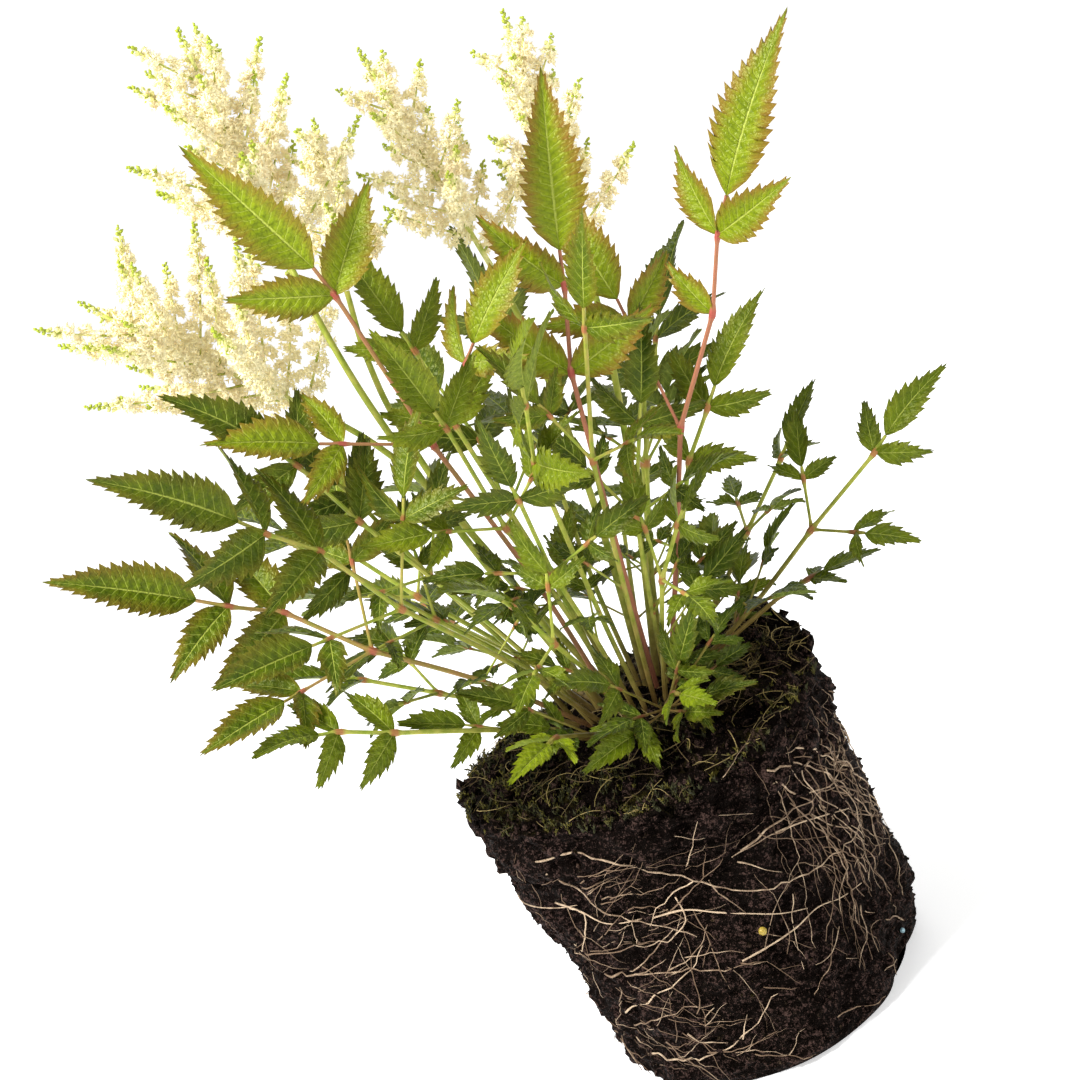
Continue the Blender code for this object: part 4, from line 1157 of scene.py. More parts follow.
def tube(path, radii, sides):
    """Points and faces of a closed round tube along a path."""
    path = np.asarray(path, float)
    count = len(path)
    along = unit(np.gradient(path, axis=0))
    side = np.cross(along[0], (0.0, 0.0, 1.0) if abs(along[0][2]) < NEARLY_UPRIGHT else (1.0, 0.0, 0.0))
    sides_of = np.empty((count, 3))
    for i in range(count):
        side = side - along[i] * side.dot(along[i])
        side = side / np.linalg.norm(side)
        sides_of[i] = side
    other = np.cross(along, sides_of)
    turns = 2 * np.pi * np.arange(sides) / sides
    cos, sin = np.cos(turns)[None, :, None], np.sin(turns)[None, :, None]
    ring = cos * sides_of[:, None] + sin * other[:, None]
    points = (path[:, None] + ring * np.asarray(radii, float)[:, None, None]).reshape(-1, 3)
    points = np.vstack([points, path[0], path[-1]])
    k = np.arange(sides)
    start = np.stack([np.full(sides, count * sides), (k + 1) % sides, k], -1)
    last = (count - 1) * sides
    end = np.stack([np.full(sides, count * sides + 1), last + k, last + (k + 1) % sides], -1)
    return points, np.vstack([halved(ring_quads(count, sides)), start, end])


def told_along(values, sides):
    """One row of numbers for each ring of a tube, spread to all its points and its two caps."""
    values = np.asarray(values, float)
    return np.vstack([np.repeat(values, sides, axis=0), values[:1], values[-1:]])


# Leaves
def tooth_rows(length, draw):
    """A leaflet's rows from base to tip, with their double teeth, and the teeth's number and step."""
    teeth = max(FEWEST_TEETH, min(MOST_TEETH, round(length / TOOTH_SPACING)))
    step = (TEETH_TO - TEETH_FROM) / teeth
    rows = list(FOOT_ROWS)
    for tooth in range(teeth):
        start = TEETH_FROM + step * tooth
        depth = 1 + draw.uniform(-TOOTH_VARIETY, TOOTH_VARIETY)
        rows += [(start + at * step, 1 + out * depth, ahead * step) for at, out, ahead in TOOTH_ROWS]
    return teeth, step, np.array(rows + list(TIP_ROWS))


def add_fine_blade(piece, blade, look, draw):
    """Adds a thin leaflet with a double-toothed rim, pleats between its side veins and a long tip."""
    teeth, step, rows = tooth_rows(blade.length, draw)
    u = rows[:, 0][:, None]
    columns = FINE_COLUMNS if blade.length > SMALL_BLADE else SMALL_COLUMNS
    v = np.array(columns)[None, :]
    rim = np.abs(v)
    wide = len(columns)
    outline = np.sin(np.pi * u**BLADE_WIDEST) ** BLADE_DRAWN_OUT
    slimmed = 1 - TIP_SLIMMING * np.clip((u - TIP_FROM) / (1 - TIP_FROM), 0, 1)
    outline = outline * slimmed * rows[:, 1][:, None]
    outline[0] = FOOT_WIDTH
    out = outline * v * blade.width / 2
    ahead = u + rows[:, 2][:, None] * np.clip(rim * (1 + TOOTH_LEAN) - TOOTH_LEAN, 0, 1)
    phase = (ahead - TEETH_FROM + VEIN_SLANT * step * (1 - rim)) / step - VEIN_START
    fold = draw.uniform(*FOLDS)
    wave, turn = draw.uniform(*WAVE_HEIGHTS) * MM, draw.uniform(*WAVE_STARTS)
    rise = fold * np.abs(out) - BLADE_DROOP * blade.length * ahead**2
    rise -= PLEAT_DEPTH * np.cos(2 * np.pi * phase) * (1 - rim) * rim * PLEAT_RISE * outline
    rise += wave * np.sin(WAVE_PACE * u + turn + np.sign(v)) * v**2
    rise -= draw.uniform(*CUP_DEPTHS) * np.abs(out) * v**2
    rise += draw.normal(0, ROLL) * out * ahead**2
    across = np.array(blade.facing.cross(blade.along).normalized())
    along = np.array(blade.along)
    up = np.cross(along, across)
    bend = blade.hook * blade.length
    top = (np.array(blade.root) + ahead[..., None] * along * blade.length + out[..., None] * across
           + (bend * ahead**2)[..., None] * across + rise[..., None] * up)
    count = len(rows)
    inner = rim[:, 1:-1]
    thick = BLADE_SKIN * (SKIN_AT_MIDDLE - SKIN_THINNING * inner)
    thick = thick + RIB_DEPTH * (inner < RIB_WIDTH) * (1 - RIB_TAPER * u)
    under = top[:, 1:-1] - thick[..., None] * up
    tip = (np.array(blade.root) + along * blade.length + across * bend
           - up * (BLADE_DROOP * blade.length))[None]
    points = np.vstack([top.reshape(-1, 3), under.reshape(-1, 3), tip])
    side_by_side = np.arange(count * wide).reshape(count, wide)
    below = side_by_side.copy()
    below[:, 1:-1] = count * wide + np.arange(count * (wide - 2)).reshape(count, wide - 2)
    end = len(points) - 1
    faces = []
    for grid, flip in ((side_by_side, True), (below, False)):
        a, b, c, d = grid[:-1, :-1], grid[:-1, 1:], grid[1:, 1:], grid[1:, :-1]
        fan = np.stack([grid[-1, :-1], grid[-1, 1:], np.full(wide - 1, end)], -1)
        triangles = np.vstack([halved(np.stack([a, b, c, d], -1).reshape(-1, 4)), fan])
        faces.append(triangles[:, ::-1] if flip else triangles)
    foot = np.concatenate([side_by_side[0], below[0, -2:0:-1]])
    faces.append(np.stack([np.full(len(foot) - 2, foot[0]), foot[1:-1], foot[2:]], -1))
    place = np.stack([np.broadcast_to(v, ahead.shape), ahead, phase], -1)
    places = np.vstack([place.reshape(-1, 3), place[:, 1:-1].reshape(-1, 3), [[0, 1, teeth]]])
    tint = np.array(look)[None].repeat(len(points), 0)
    tint[count * wide : -1, 2] = 1
    piece.add(points, np.vstack(faces), 0, leaf_place=places, leaf_tint=tint)


def add_fine_stalk(piece, stalk, look, draw, start=None):
    """Adds a round stalk, swollen at its joints, and all that it bears."""
    foot = [] if start is None else [start]
    knots = foot + list(stalk.points)
    radii = [stalk.radii[0]] * len(foot) + list(stalk.radii)
    path, stations = smooth_path(knots, STALK_STEP)
    girth = np.interp(stations, np.arange(len(knots)), radii)
    joints = {at: (stalk.points[at] + stalk.points[at + 1]) / 2 for at, _ in stalk.borne}
    swell = np.zeros(len(path))
    for centre in [*joints.values(), *foot]:
        reach = np.linalg.norm(path - np.array(centre), axis=1)
        swell = np.maximum(swell, np.exp(-((reach / JOINT_SWELL_REACH) ** 2)))
    height = np.clip((path[:, 2] - BALL_HEIGHT) / STALK_BLUSH_HEIGHT, 0, 1)
    points, faces = tube(path, girth * (STALK_GIRTH + JOINT_SWELL * swell), STALK_SIDES)
    tint = told_along(np.stack([swell, np.full(len(path), look[1]), height], -1), STALK_SIDES)
    piece.add(points, faces, 1, leaf_tint=tint)
    for (station, _), borne in stalk.borne.items():
        if isinstance(borne, Stalk):
            add_fine_stalk(piece, borne, look, draw, joints[station])
        elif borne is not None:
            add_fine_blade(piece, borne, look, draw)
    if stalk.end is not None:
        add_fine_blade(piece, stalk.end, look, draw)


# Plumes
def floret_form(petal, gap, top, foot):
    """A floret's points: a ring of petals and gaps, each a (reach, height), its top and its foot."""
    k = np.arange(FLORET_RING)
    turns = 2 * np.pi * k / FLORET_RING
    reach, height = np.where((k % 2 == 0)[:, None], petal, gap).T
    ring = np.stack([reach * np.cos(turns), reach * np.sin(turns), height], -1)
    return np.vstack([ring, [[0, 0, top], [0, 0, foot]]])


def floret_faces():
    """The faces from a floret's ring to its top and its foot."""
    k = np.arange(FLORET_RING)
    following = (k + 1) % FLORET_RING
    upper = np.stack([k, following, np.full(FLORET_RING, FLORET_RING)], -1)
    lower = np.stack([following, k, np.full(FLORET_RING, FLORET_RING + 1)], -1)
    return np.vstack([upper, lower])


def add_florets(piece, centres, facings, sizes, tints, draw):
    """Adds a floret or bud at each centre, turned at random about its facing.

    Its tint is (whether it is a bud, age, chance).
    """
    count = len(centres)
    facings = unit(facings)
    level = np.abs(facings[:, 2:3]) < NEARLY_UPRIGHT
    side = unit(np.cross(facings, np.where(level, (0.0, 0.0, 1.0), (1.0, 0.0, 0.0))))
    other = np.cross(facings, side)
    spin = draw.uniform(0, 2 * np.pi, count)[:, None]
    cos, sin = np.cos(spin), np.sin(spin)
    side, other = side * cos + other * sin, other * cos - side * sin
    form = np.where((tints[:, 0] > 0.5)[:, None, None], floret_form(*BUD), floret_form(*OPEN_FLORET))
    lift = draw.uniform(*FLORET_LIFTS, count)[:, None, None]
    shape = form[..., 0:1] * side[:, None] + form[..., 1:2] * other[:, None]
    shape = shape + form[..., 2:3] * lift * facings[:, None]
    points = centres[:, None] + sizes[:, None, None] * shape
    size = FLORET_RING + 2
    every = floret_faces()[None] + size * np.arange(count)[:, None, None]
    piece.add(points, every.reshape(-1, 3), 0, floret_tint=np.repeat(tints, size, axis=0))


def spray_points(spike, share, turns, radii):
    """spike_point for arrays of shares along a spike, turns about it and radii."""
    along = np.array(spike.along)
    across = np.array(spike.facing.cross(spike.along).normalized())
    up = np.cross(along, across)
    middle = np.array(spike.foot) + along * (spike.length * share)[:, None]
    middle = middle + up * (SPIKE_CURL * spike.length * share**2)[:, None]
    away = across * np.cos(turns)[:, None] + up * np.sin(turns)[:, None]
    return middle + away * radii[:, None], away


def add_spray(piece, spike, draw, age):
    """Adds one spike: a branch with side sprays of open florets, and a chain of buds at its tip."""
    fullness = THIN_SPIKE_SHARE + (1 - THIN_SPIKE_SHARE) * spike.radius / SPIKE_RADIUS
    flowers = int(spike.length * FLORETS_A_METRE * fullness)
    climb = draw.uniform(0.0, 1.0, flowers) ** FLORETS_UPWARDS
    share = FLORETS_FROM + (BUD_SHARE - FLORETS_FROM) * climb
    girth = np.array([spike_girth(spike, u) for u in share])
    sprays = max(FEWEST_SPRAYS, int(spike.length / SIDE_SPRAY_STEP))
    spray = np.floor(share * sprays)
    turns = spray * math.radians(GOLDEN_ANGLE) + draw.normal(0, SPRAY_STRAY, flowers)
    bulge = SPRAY_BULGE[0] + SPRAY_BULGE[1] * np.abs(np.sin(spray * BUD_TURN + age))
    radii = girth * bulge * draw.uniform(*FLORET_DEPTHS, flowers) ** FLORETS_OUTWARDS
    centres, away = spray_points(spike, share, turns, radii)
    facings = away + FLORET_TILT * np.array(spike.along) + draw.normal(0, FLORET_STRAY, (flowers, 3))
    chance = draw.uniform(0, 1, flowers)
    in_bud = (share > EARLY_BUDS_FROM * BUD_SHARE) & (chance > EARLY_BUD_CHANCE)
    ages = np.clip(age + draw.normal(0, FLORET_AGES, flowers), 0, 1)
    sizes = FLORET_RADIUS * draw.uniform(*FLORET_SIZES, flowers) * np.where(in_bud, EARLY_BUD_SIZE, 1.0)
    add_florets(piece, centres, facings, sizes, np.stack([in_bud, ages, chance], -1), draw)

    buds = int(spike.length * (1 + BUD_OVERLAP - BUD_SHARE) * BUDS_A_METRE)
    share = np.linspace(BUD_SHARE - BUD_OVERLAP, 1.0, buds)
    radii = np.interp(share, [BUD_SHARE, 1.0], BUD_REACHES) * draw.uniform(*BUD_STRAY, buds)
    centres, away = spray_points(spike, share, np.arange(buds) * BUD_TURN, radii)
    chance = draw.uniform(0, 1, buds)
    ripeness = np.clip((share - BUD_SHARE) / (1 - BUD_SHARE), 0, 1)
    sizes = BUD_RADIUS * np.interp(share, [BUD_SHARE, 1.0], BUD_SIZES)
    tints = np.stack([np.ones(buds), 1 - ripeness, chance], -1)
    add_florets(piece, centres, away + np.array(spike.along), sizes, tints, draw)

    bare = np.zeros(BRANCH_RINGS)
    path, _ = spray_points(spike, np.linspace(0, BRANCH_END, BRANCH_RINGS), bare, bare)
    points, faces = tube(path, np.linspace(*BRANCH_RADII, BRANCH_RINGS) * MM, BRANCH_SIDES)
    piece.add(points, faces, 1)


def between_spikes(spikes, draw):
    """Shorter spikes in the gaps of a plume: each lies between two of its neighbours."""
    extra = []
    for first, second in zip(spikes[1:], spikes[4:]):
        along = (first.along + second.along + Vector(draw.normal(0, BETWEEN_STRAY, 3))).normalized()
        length = draw.uniform(*BETWEEN_LENGTHS) * min(first.length, second.length)
        foot = first.foot.lerp(second.foot, 0.5)
        extra.append(Spike(foot, along, UP, length, BETWEEN_RADIUS * first.radius))
    return extra


# Root ball
def ball_point(turn, height):
    """A point of the ball's wall without its crumbs."""
    reach = frustum_radius(height) + wall_relief(turn, height)
    if height < BALL_CHAMFER:
        reach -= BALL_CHAMFER - height
    return Vector((reach * math.cos(turn), reach * math.sin(turn), height))


def crumbs(point):
    """How far crumbs stand out of the peat at a point, in metres."""
    coarse = noise.turbulence(point / COARSE_SIZE, 3, False) - COARSE_LEVEL
    lumps = noise.cell(point / LUMP_SIZE + Vector((1, 1, 1)) * noise.noise(point / LUMP_STRAY_SIZE))
    fine = noise.noise(point / FINE_SIZE)
    return COARSE_CRUMB * coarse + LUMP_CRUMB * (lumps - 0.5) + FINE_CRUMB * fine


def peat_rings():
    """The ball's profile, from the middle of its foot up, as (kind, share of the radius or height)."""
    foot = [("foot", share) for share in np.linspace(0, 1, FOOT_RINGS, endpoint=False)]
    wall = [("wall", height) for height in np.linspace(0, BALL_HEIGHT, WALL_RINGS)]
    top = [("top", share) for share in np.linspace(1, 0, TOP_RINGS)]
    return foot + wall + top[1:]


def peat_point(kind, place, turn):
    """A point of the ball without its crumbs, the way that it faces and how much crumbs count there."""
    if kind == "foot":
        reach = (BALL_BASE_RADIUS - BALL_CHAMFER) * place
        return Vector((reach * math.cos(turn), reach * math.sin(turn), 0)), Vector((0, 0, -1)), 0.0
    edge = ball_point(turn, BALL_HEIGHT)
    rim = soil_height(edge.x, edge.y)
    away = Vector((math.cos(turn), math.sin(turn), 0))
    if kind == "wall":
        band = BALL_HEIGHT - RIM_BAND
        height = place if place < band else band + (place - band) * (rim - band) / (BALL_HEIGHT - band)
        spot = ball_point(turn, place)
        spot.z = height
        return spot, away, min(1.0, height / FOOT_CALM)
    reach = math.hypot(edge.x, edge.y) * place
    x, y = reach * math.cos(turn), reach * math.sin(turn)
    return Vector((x, y, soil_height(x, y))), UP, 1.0


def add_peat(piece):
    """Adds the ball's whole surface, roughened by crumbs."""
    rings = peat_rings()
    turns = 2 * math.pi * np.arange(PEAT_SIDES) / PEAT_SIDES
    points, tints = [], []
    for kind, place in rings:
        for turn in turns:
            spot, out, depth = peat_point(kind, place, turn)
            relief = crumbs(spot) * depth
            if place > RAGGED_FROM[kind]:
                relief += RIM_RAGGED * noise.noise(spot / RAGGED_SIZE) * depth
            points.append(spot + out * relief)
            top = kind == "top"
            # The relief goes to the finish, which paints shade into the hollows
            tints.append((relief / (2 * COARSE_CRUMB), top, place * top))
    triangles = halved(ring_quads(len(rings), PEAT_SIDES)[:, ::-1])
    past_middle = (triangles >= PEAT_SIDES).any(axis=1)
    piece.add([tuple(p) for p in points], triangles[past_middle], 0, peat_tint=tints)


def add_lumps(piece, spots, sizes, draw, **told):
    """Adds small angular crumbs, each a six-point lump knocked out of round."""
    form = np.array(OCTAHEDRON, float)
    for spot, size in zip(spots, sizes):
        shape = form * draw.uniform(*CORNER_REACHES, form.shape) * draw.uniform(*CRUMB_STRETCH, 3)
        piece.add(np.array(spot) + shape * size, OCTAHEDRON_FACES, 0, **told)


def on_wall(turn, height):
    """A point where a root lies on the wall: mostly on its crumbs, here and there just under them."""
    spot = ball_point(turn, height)
    out = Vector((math.cos(turn), math.sin(turn), 0))
    dip = ROOT_DIP * noise.noise(spot / ROOT_DIP_SIZE)
    return spot + out * (crumbs(spot) * ROOT_FOLLOWS + ROOT_OUT + dip)


def root_path(draw, turn, height, slope, length, wander):
    """A root's points along the ball's wall, from a start, a slope and a length."""
    points = []
    for _ in range(max(FEWEST_ROOT_POINTS, int(length / ROOT_STRIDE))):
        if not ROOT_LOWEST < height < BALL_HEIGHT:
            break
        points.append(on_wall(turn, height))
        turn += ROOT_STRIDE / BALL_TOP_RADIUS * math.cos(slope)
        height += ROOT_STRIDE * math.sin(slope)
        slope += draw.normal(0, wander)
    return points


# Finishes
def leaf_finish(leaves):
    """Leaf green from deep to fresh, with paler veins, blushed margins and a paler underside."""
    finish = Finish("leaf_green", specular_ior_level=0.3, specular_tint=(0.88, 0.92, 0.40, 1))
    across, along, phase = finish.told("leaf_place")
    tone, blush, under = finish.told("leaf_tint")
    cloud = finish.noise(9 * MM, 2)
    fine = finish.noise(0.9 * MM, 1)
    rim = abs(across)
    vein = abs((phase + 0.5).fraction() - 0.5)
    side_vein = 1 - vein.ramp(0.015, 0.09)
    mid_vein = 1 - rim.ramp(0.015, 0.065)
    net = finish.cells(1.5 * MM).ramp(0.35, 0.75)
    veins = (side_vein * (1 - rim * 0.6) * 0.75 + mid_vein * 1.3) * leaves.vein_strength
    shade = (tone + (cloud - 0.5) * 0.7 + (fine - 0.5) * 0.25 - along * 0.12).ramp(0.0, 1.0)
    green = finish.mixed(shade, leaves.deep_green, leaves.fresh_green)
    green = finish.mixed(under * 0.55, green, leaves.underside)
    green = finish.mixed(net * 0.15 + vein.ramp(0.25, 0.5) * 0.3, green, leaves.deep_green)
    margin = (rim + along * 0.3 + (cloud - 0.5) * 0.6).ramp(0.35, 1.25) * blush * 0.9
    green = finish.mixed(margin, green, leaves.blush)
    green = finish.mixed(veins, green, leaves.vein_green)
    finish.bump(fine * 0.3 - veins * 1.2 - net * 0.3, 0.6 * MM, 0.8)
    return finish.paint(green, cloud * 0.16 + 0.28 + under * 0.2)


def stalk_finish(leaves):
    """Stalk green that turns pink at joints and dark red towards the soil."""
    finish = Finish("leaf_stalk", specular_ior_level=0.25, specular_tint=(1, 0.92, 0.6, 1))
    joint, flush, height = finish.told("leaf_tint")
    cloud = finish.noise(6 * MM, 3)
    streak = finish.noise(1.2 * MM, 2)
    green = finish.mixed(cloud.ramp(0.3, 0.7), leaves.stalk_green, leaves.stalk_yellow)
    pink = (flush * 0.8 + (cloud - 0.5) * 0.6).ramp(0.1, 0.75) * 0.9
    colour = finish.mixed(pink, green, leaves.stalk_pink)
    colour = finish.mixed(joint.ramp(0.3, 0.95) * 0.85, colour, leaves.joint_red)
    foot = 1 - (height + (cloud - 0.5) * 0.3).ramp(0.0, 0.6)
    colour = finish.mixed(foot * 0.85, colour, leaves.foot_red)
    finish.bump(streak, 0.2 * MM, 0.4)
    return finish.paint(colour, cloud * 0.2 + 0.35)


def branch_finish(plume):
    """The plume's own branches: pale yellow-green."""
    finish = Finish("plume_branch", roughness=0.5, specular_ior_level=0.25)
    cloud = finish.noise(5 * MM, 3)
    finish.bump(cloud, 0.2 * MM, 0.3)
    colour = finish.mixed(cloud.ramp(0.3, 0.7), plume.bud_green, plume.bud_cream)
    return finish.paint(colour, cloud * 0.2 + 0.4)


def floret_finish(plume):
    """Cream petals with beige and pinkish ones among them, and yellow-green buds."""
    finish = Finish("cream_florets", specular_ior_level=0.15, emission_strength=0.1)
    bud, age, chance = finish.told("floret_tint")
    grain = finish.noise(0.6 * MM, 1)
    cloud = finish.noise(14 * MM, 1)
    aged = (age * 0.6 + chance * 0.5 + (cloud - 0.5) * 0.9).ramp(0.3, 1.1)
    petal = finish.mixed(aged, plume.cream, plume.beige)
    green = finish.mixed((age + (grain - 0.5) * 0.4).ramp(0.35, 1.0), plume.bud_green, plume.bud_cream)
    colour = finish.mixed(bud, petal, green)
    colour = finish.mixed(grain.ramp(0.35, 0.8) * 0.15, colour, plume.shade)
    # Painted light: the florets glow faintly in their own colour, for light shining through and among the
    # petals
    finish.glow(colour)
    finish.bump(grain, 0.2 * MM, 0.3)
    return finish.paint(colour, grain * 0.2 + 0.62)


def peat_finish(ball):
    """Moist black-brown peat: painted shade in dark hollows, browner crumbs, fibres, olive moss patches on
    top.
    """
    finish = Finish("moist_peat", specular_ior_level=0.05, specular_tint=(1, 0.78, 0.66, 1))
    relief, top, _ = finish.told("peat_tint")
    grit = finish.cells(1.9 * MM)
    small = finish.cells(0.8 * MM)
    cloud = finish.noise(11 * MM, 2)
    lumps = finish.noise(2.4 * MM, 3, 0.75)
    fine = finish.noise(0.7 * MM, 1)
    fibre = finish.noise(3.5 * MM, 3, 0.75)
    # Painted shade: low relief and the cells' edges darken the hollows and gaps between crumbs
    crumb = (lumps - 0.5) * 3.4 - grit * 0.9 - small * 1.2 + (cloud - 0.5) * 0.8 + relief * 0.4 + 1.2
    colour = finish.mixed((crumb - top * 0.35).ramp(0.0, 0.85), ball.dark_peat_and_shade, ball.peat_brown)
    colour = finish.mixed((fibre + fine * 0.2).ramp(0.72, 0.86) * 0.5, colour, ball.peat_fibre)
    moss = (cloud * 1.4 + fine * 0.4 - 0.95).ramp(-0.05, 0.4) * top
    colour = finish.mixed(moss * 0.35, colour, ball.moss)
    finish.bump(fine * 0.4 + lumps * 2.0 - grit * 1.0 - small * 0.7, 1.7 * MM, 1.0)
    return finish.paint(colour, 0.85 - fine * 0.3)


def root_finish(ball):
    """Tan roots, some paler than others, and darker where peat stains them."""
    finish = Finish("tan_root", specular_ior_level=0.3, specular_tint=(1, 0.85, 0.7, 1))
    stain = finish.noise(5 * MM, 2)
    fine = finish.noise(0.7 * MM, 1)
    pale, _, _ = finish.told("root_tint")
    paleness = (stain + (fine - 0.5) * 0.5 + pale - 0.5).ramp(0.25, 0.8)
    colour = finish.mixed(paleness, ball.root_dark, ball.root_pale)
    finish.bump(fine, 0.3 * MM, 0.6)
    return finish.paint(colour, fine * 0.3 + 0.45)


def speck_finish(name, colour):
    """A clouded speck of one colour."""
    finish = Finish(name, roughness=0.4, specular_ior_level=0.4)
    cloud = finish.noise(0.8 * MM, 3)
    finish.bump(cloud, 0.2 * MM, 0.5)
    dim = [SPECK_DIM * part for part in colour]
    return finish.paint(finish.mixed(cloud.ramp(0.35, 0.7), dim, colour), cloud * 0.3 + 0.25)


def litter_finish(ball):
    """Moss shoots and straw: each shoot holds its own mix of green and straw."""
    finish = Finish("moss_and_straw", roughness=0.7, specular_ior_level=0.3)
    straw, chance, _ = finish.told("litter_tint")
    cloud = finish.noise(2 * MM, 3)
    moss = finish.mixed((chance + (cloud - 0.5) * 0.6).ramp(0.3, 1.0), ball.moss_deep, ball.moss)
    dry = finish.mixed((chance + (cloud - 0.5) * 0.6).ramp(0.1, 0.9), ball.straw_brown, ball.straw)
    finish.bump(cloud, 0.3 * MM, 0.5)
    return finish.paint(finish.mixed(straw, moss, dry), cloud * 0.2 + 0.6)


def floor_finish(studio):
    """Pale floor that glows a little, so that it stays white."""
    finish = Finish("pale_floor", roughness=0.85, specular_ior_level=0.1, emission_strength=FLOOR_GLOW)
    cloud = finish.noise(0.4, 2)
    white = finish.mixed(cloud * 0.1, studio.floor, studio.floor_shade)
    finish.glow(white)
    return finish.paint(white, cloud * 0.05 + 0.83)


# What a user may change
def colour_property(name, description, default):
    """A colour that a user may change."""
    return FloatVectorProperty(name=name, description=description, default=default, subtype="COLOR",
                               size=3, min=0, max=1)


def count_property(name, description, default):
    """A number of fine pieces that a user may change."""
    return IntProperty(name=name, description=description, default=default, min=0, max=4000)


class AstilbeLeaves(bpy.types.PropertyGroup):
    """Colours of the fronds."""

    deep_green: colour_property("Deep green", "Old leaves in the shade", (0.026, 0.050, 0.003))
    fresh_green: colour_property("Fresh green", "Young leaves in the light", (0.205, 0.265, 0.006))
    underside: colour_property("Underside", "The leaflets' lower face", (0.190, 0.240, 0.045))
    vein_green: colour_property("Veins", "Midribs and side veins", (0.400, 0.450, 0.080))
    blush: colour_property("Blush", "Margins of young leaves", (0.190, 0.080, 0.016))
    stalk_green: colour_property("Stalk green", "Leaf and flower stalks", (0.210, 0.280, 0.025))
    stalk_yellow: colour_property("Stalk yellow", "Paler stretches of the stalks", (0.400, 0.400, 0.075))
    stalk_pink: colour_property("Stalk pink", "Flushed stretches of the stalks", (0.340, 0.105, 0.075))
    joint_red: colour_property("Joint red", "Swollen joints", (0.360, 0.045, 0.050))
    foot_red: colour_property("Foot red", "Feet of the stalks", (0.120, 0.038, 0.022))
    vein_strength: FloatProperty(name="Vein strength", description="How plain the veins are",
                                 default=0.6, min=0, max=1, subtype="FACTOR")


class AstilbePlumes(bpy.types.PropertyGroup):
    """Colours of the plumes."""

    cream: colour_property("Cream", "Open florets", (0.970, 0.885, 0.570))
    beige: colour_property("Beige", "Older florets", (0.910, 0.770, 0.475))
    shade: colour_property("Shade", "Hollows among the petals", (0.700, 0.610, 0.290))
    bud_green: colour_property("Bud green", "Buds at the tips", (0.330, 0.400, 0.030))
    bud_cream: colour_property("Bud cream", "Buds about to open", (0.800, 0.760, 0.330))


class AstilbeBall(bpy.types.PropertyGroup):
    """Colours and counts of the root ball."""

    # Dark peat is also the painted shade in the hollows and gaps between crumbs
    dark_peat_and_shade: colour_property("Dark peat", "Moist hollows", (0.0028, 0.0017, 0.0013))
    peat_brown: colour_property("Brown peat", "Drier crumbs", (0.078, 0.046, 0.038))
    peat_fibre: colour_property("Fibre", "Fibres in the peat", (0.120, 0.082, 0.052))
    moss: colour_property("Moss", "Moss on top", (0.125, 0.105, 0.012))
    moss_deep: colour_property("Deep moss", "Moss in the shade", (0.030, 0.030, 0.006))
    straw: colour_property("Straw", "Dry fibres on top", (0.420, 0.310, 0.120))
    straw_brown: colour_property("Brown straw", "Old fibres on top", (0.090, 0.058, 0.024))
    root_pale: colour_property("Pale root", "Young roots", (0.520, 0.390, 0.260))
    root_dark: colour_property("Dark root", "Old, stained roots", (0.150, 0.095, 0.058))
    roots: count_property("Roots", "Free roots round the wall", 240)
    straws: count_property("Straws", "Dry fibres on top", 420)
    shoots: count_property("Moss shoots", "Moss shoots on top", 1500)


class AstilbeStudio(bpy.types.PropertyGroup):
    """The camera's place and the stage."""

    distance: FloatProperty(name="Distance", description="From the plant's middle", default=1.0,
                            unit="LENGTH")
    aim_height: FloatProperty(name="Aim", description="Height looked at", default=0.225, unit="LENGTH")
    elevation: FloatProperty(name="Elevation", description="Above level", default=math.radians(15.5),
                             subtype="ANGLE")
    roll: FloatProperty(name="Roll", description="How far the camera leans", default=math.radians(28),
                        subtype="ANGLE")
    lens: FloatProperty(name="Lens", description="Focal length in millimetres", default=82.7)
    floor: colour_property("Floor", "The pale floor", (0.90, 0.90, 0.90))
    floor_shade: colour_property("Floor shade", "Faint clouds on the floor", (0.82, 0.82, 0.82))


def draws_for(name):
    """A source of random numbers that starts alike for the same name."""
    return np.random.default_rng(sum(ord(letter) * (i + 1) for i, letter in enumerate(name)))


class ASTILBE_OT_fronds(bpy.types.Operator):
    """Grow the toothed, veined fronds on their stalks"""

    bl_idname = "astilbe.fronds"
    bl_label = "Fronds"

    def execute(self, context):
        leaves = context.scene.astilbe_leaves
        finishes = [leaf_finish(leaves), stalk_finish(leaves)]
        for frond in FRONDS:
            draw = draws_for(frond.name)
            piece = Gathering("leaf_place", "leaf_tint")
            add_fine_stalk(piece, PLAN.fronds[frond.name], (frond.fresh, frond.blush, 0.0), draw)
            slot = "young_leaf" if frond.name in YOUNG_FRONDS else "leaf"
            dressed(piece.made("leafy_" + frond.name, finishes, LEAF_CREASE), slot, frond.name)
        return {"FINISHED"}


class ASTILBE_OT_inner_leaves(bpy.types.Operator):
    """Fill the middle with small sprigs, each on a thin side stalk"""

    bl_idname = "astilbe.inner_leaves"
    bl_label = "Inner leaves"

    def execute(self, context):
        leaves = context.scene.astilbe_leaves
        finishes = [leaf_finish(leaves), stalk_finish(leaves)]
        piece = Gathering("leaf_place", "leaf_tint")
        draw = draws_for("inner leaves")
        rachises = list(PLAN.fronds.items())
        grown = 0
        for attempt in range(SPRIG_ATTEMPTS):
            name, rachis = rachises[attempt % len(rachises)]
            found = plan_sprig(name, rachis, draw)
            if found is not None:
                look = (draw.uniform(*SPRIG_FRESHNESS), draw.uniform(*SPRIG_BLUSH), 0.0)
                add_fine_stalk(piece, found[0], look, draw, found[1])
                grown += 1
            if grown == SPRIGS:
                break
        dressed(piece.made("inner_leaves", finishes, LEAF_CREASE), "leaf")
        return {"FINISHED"}


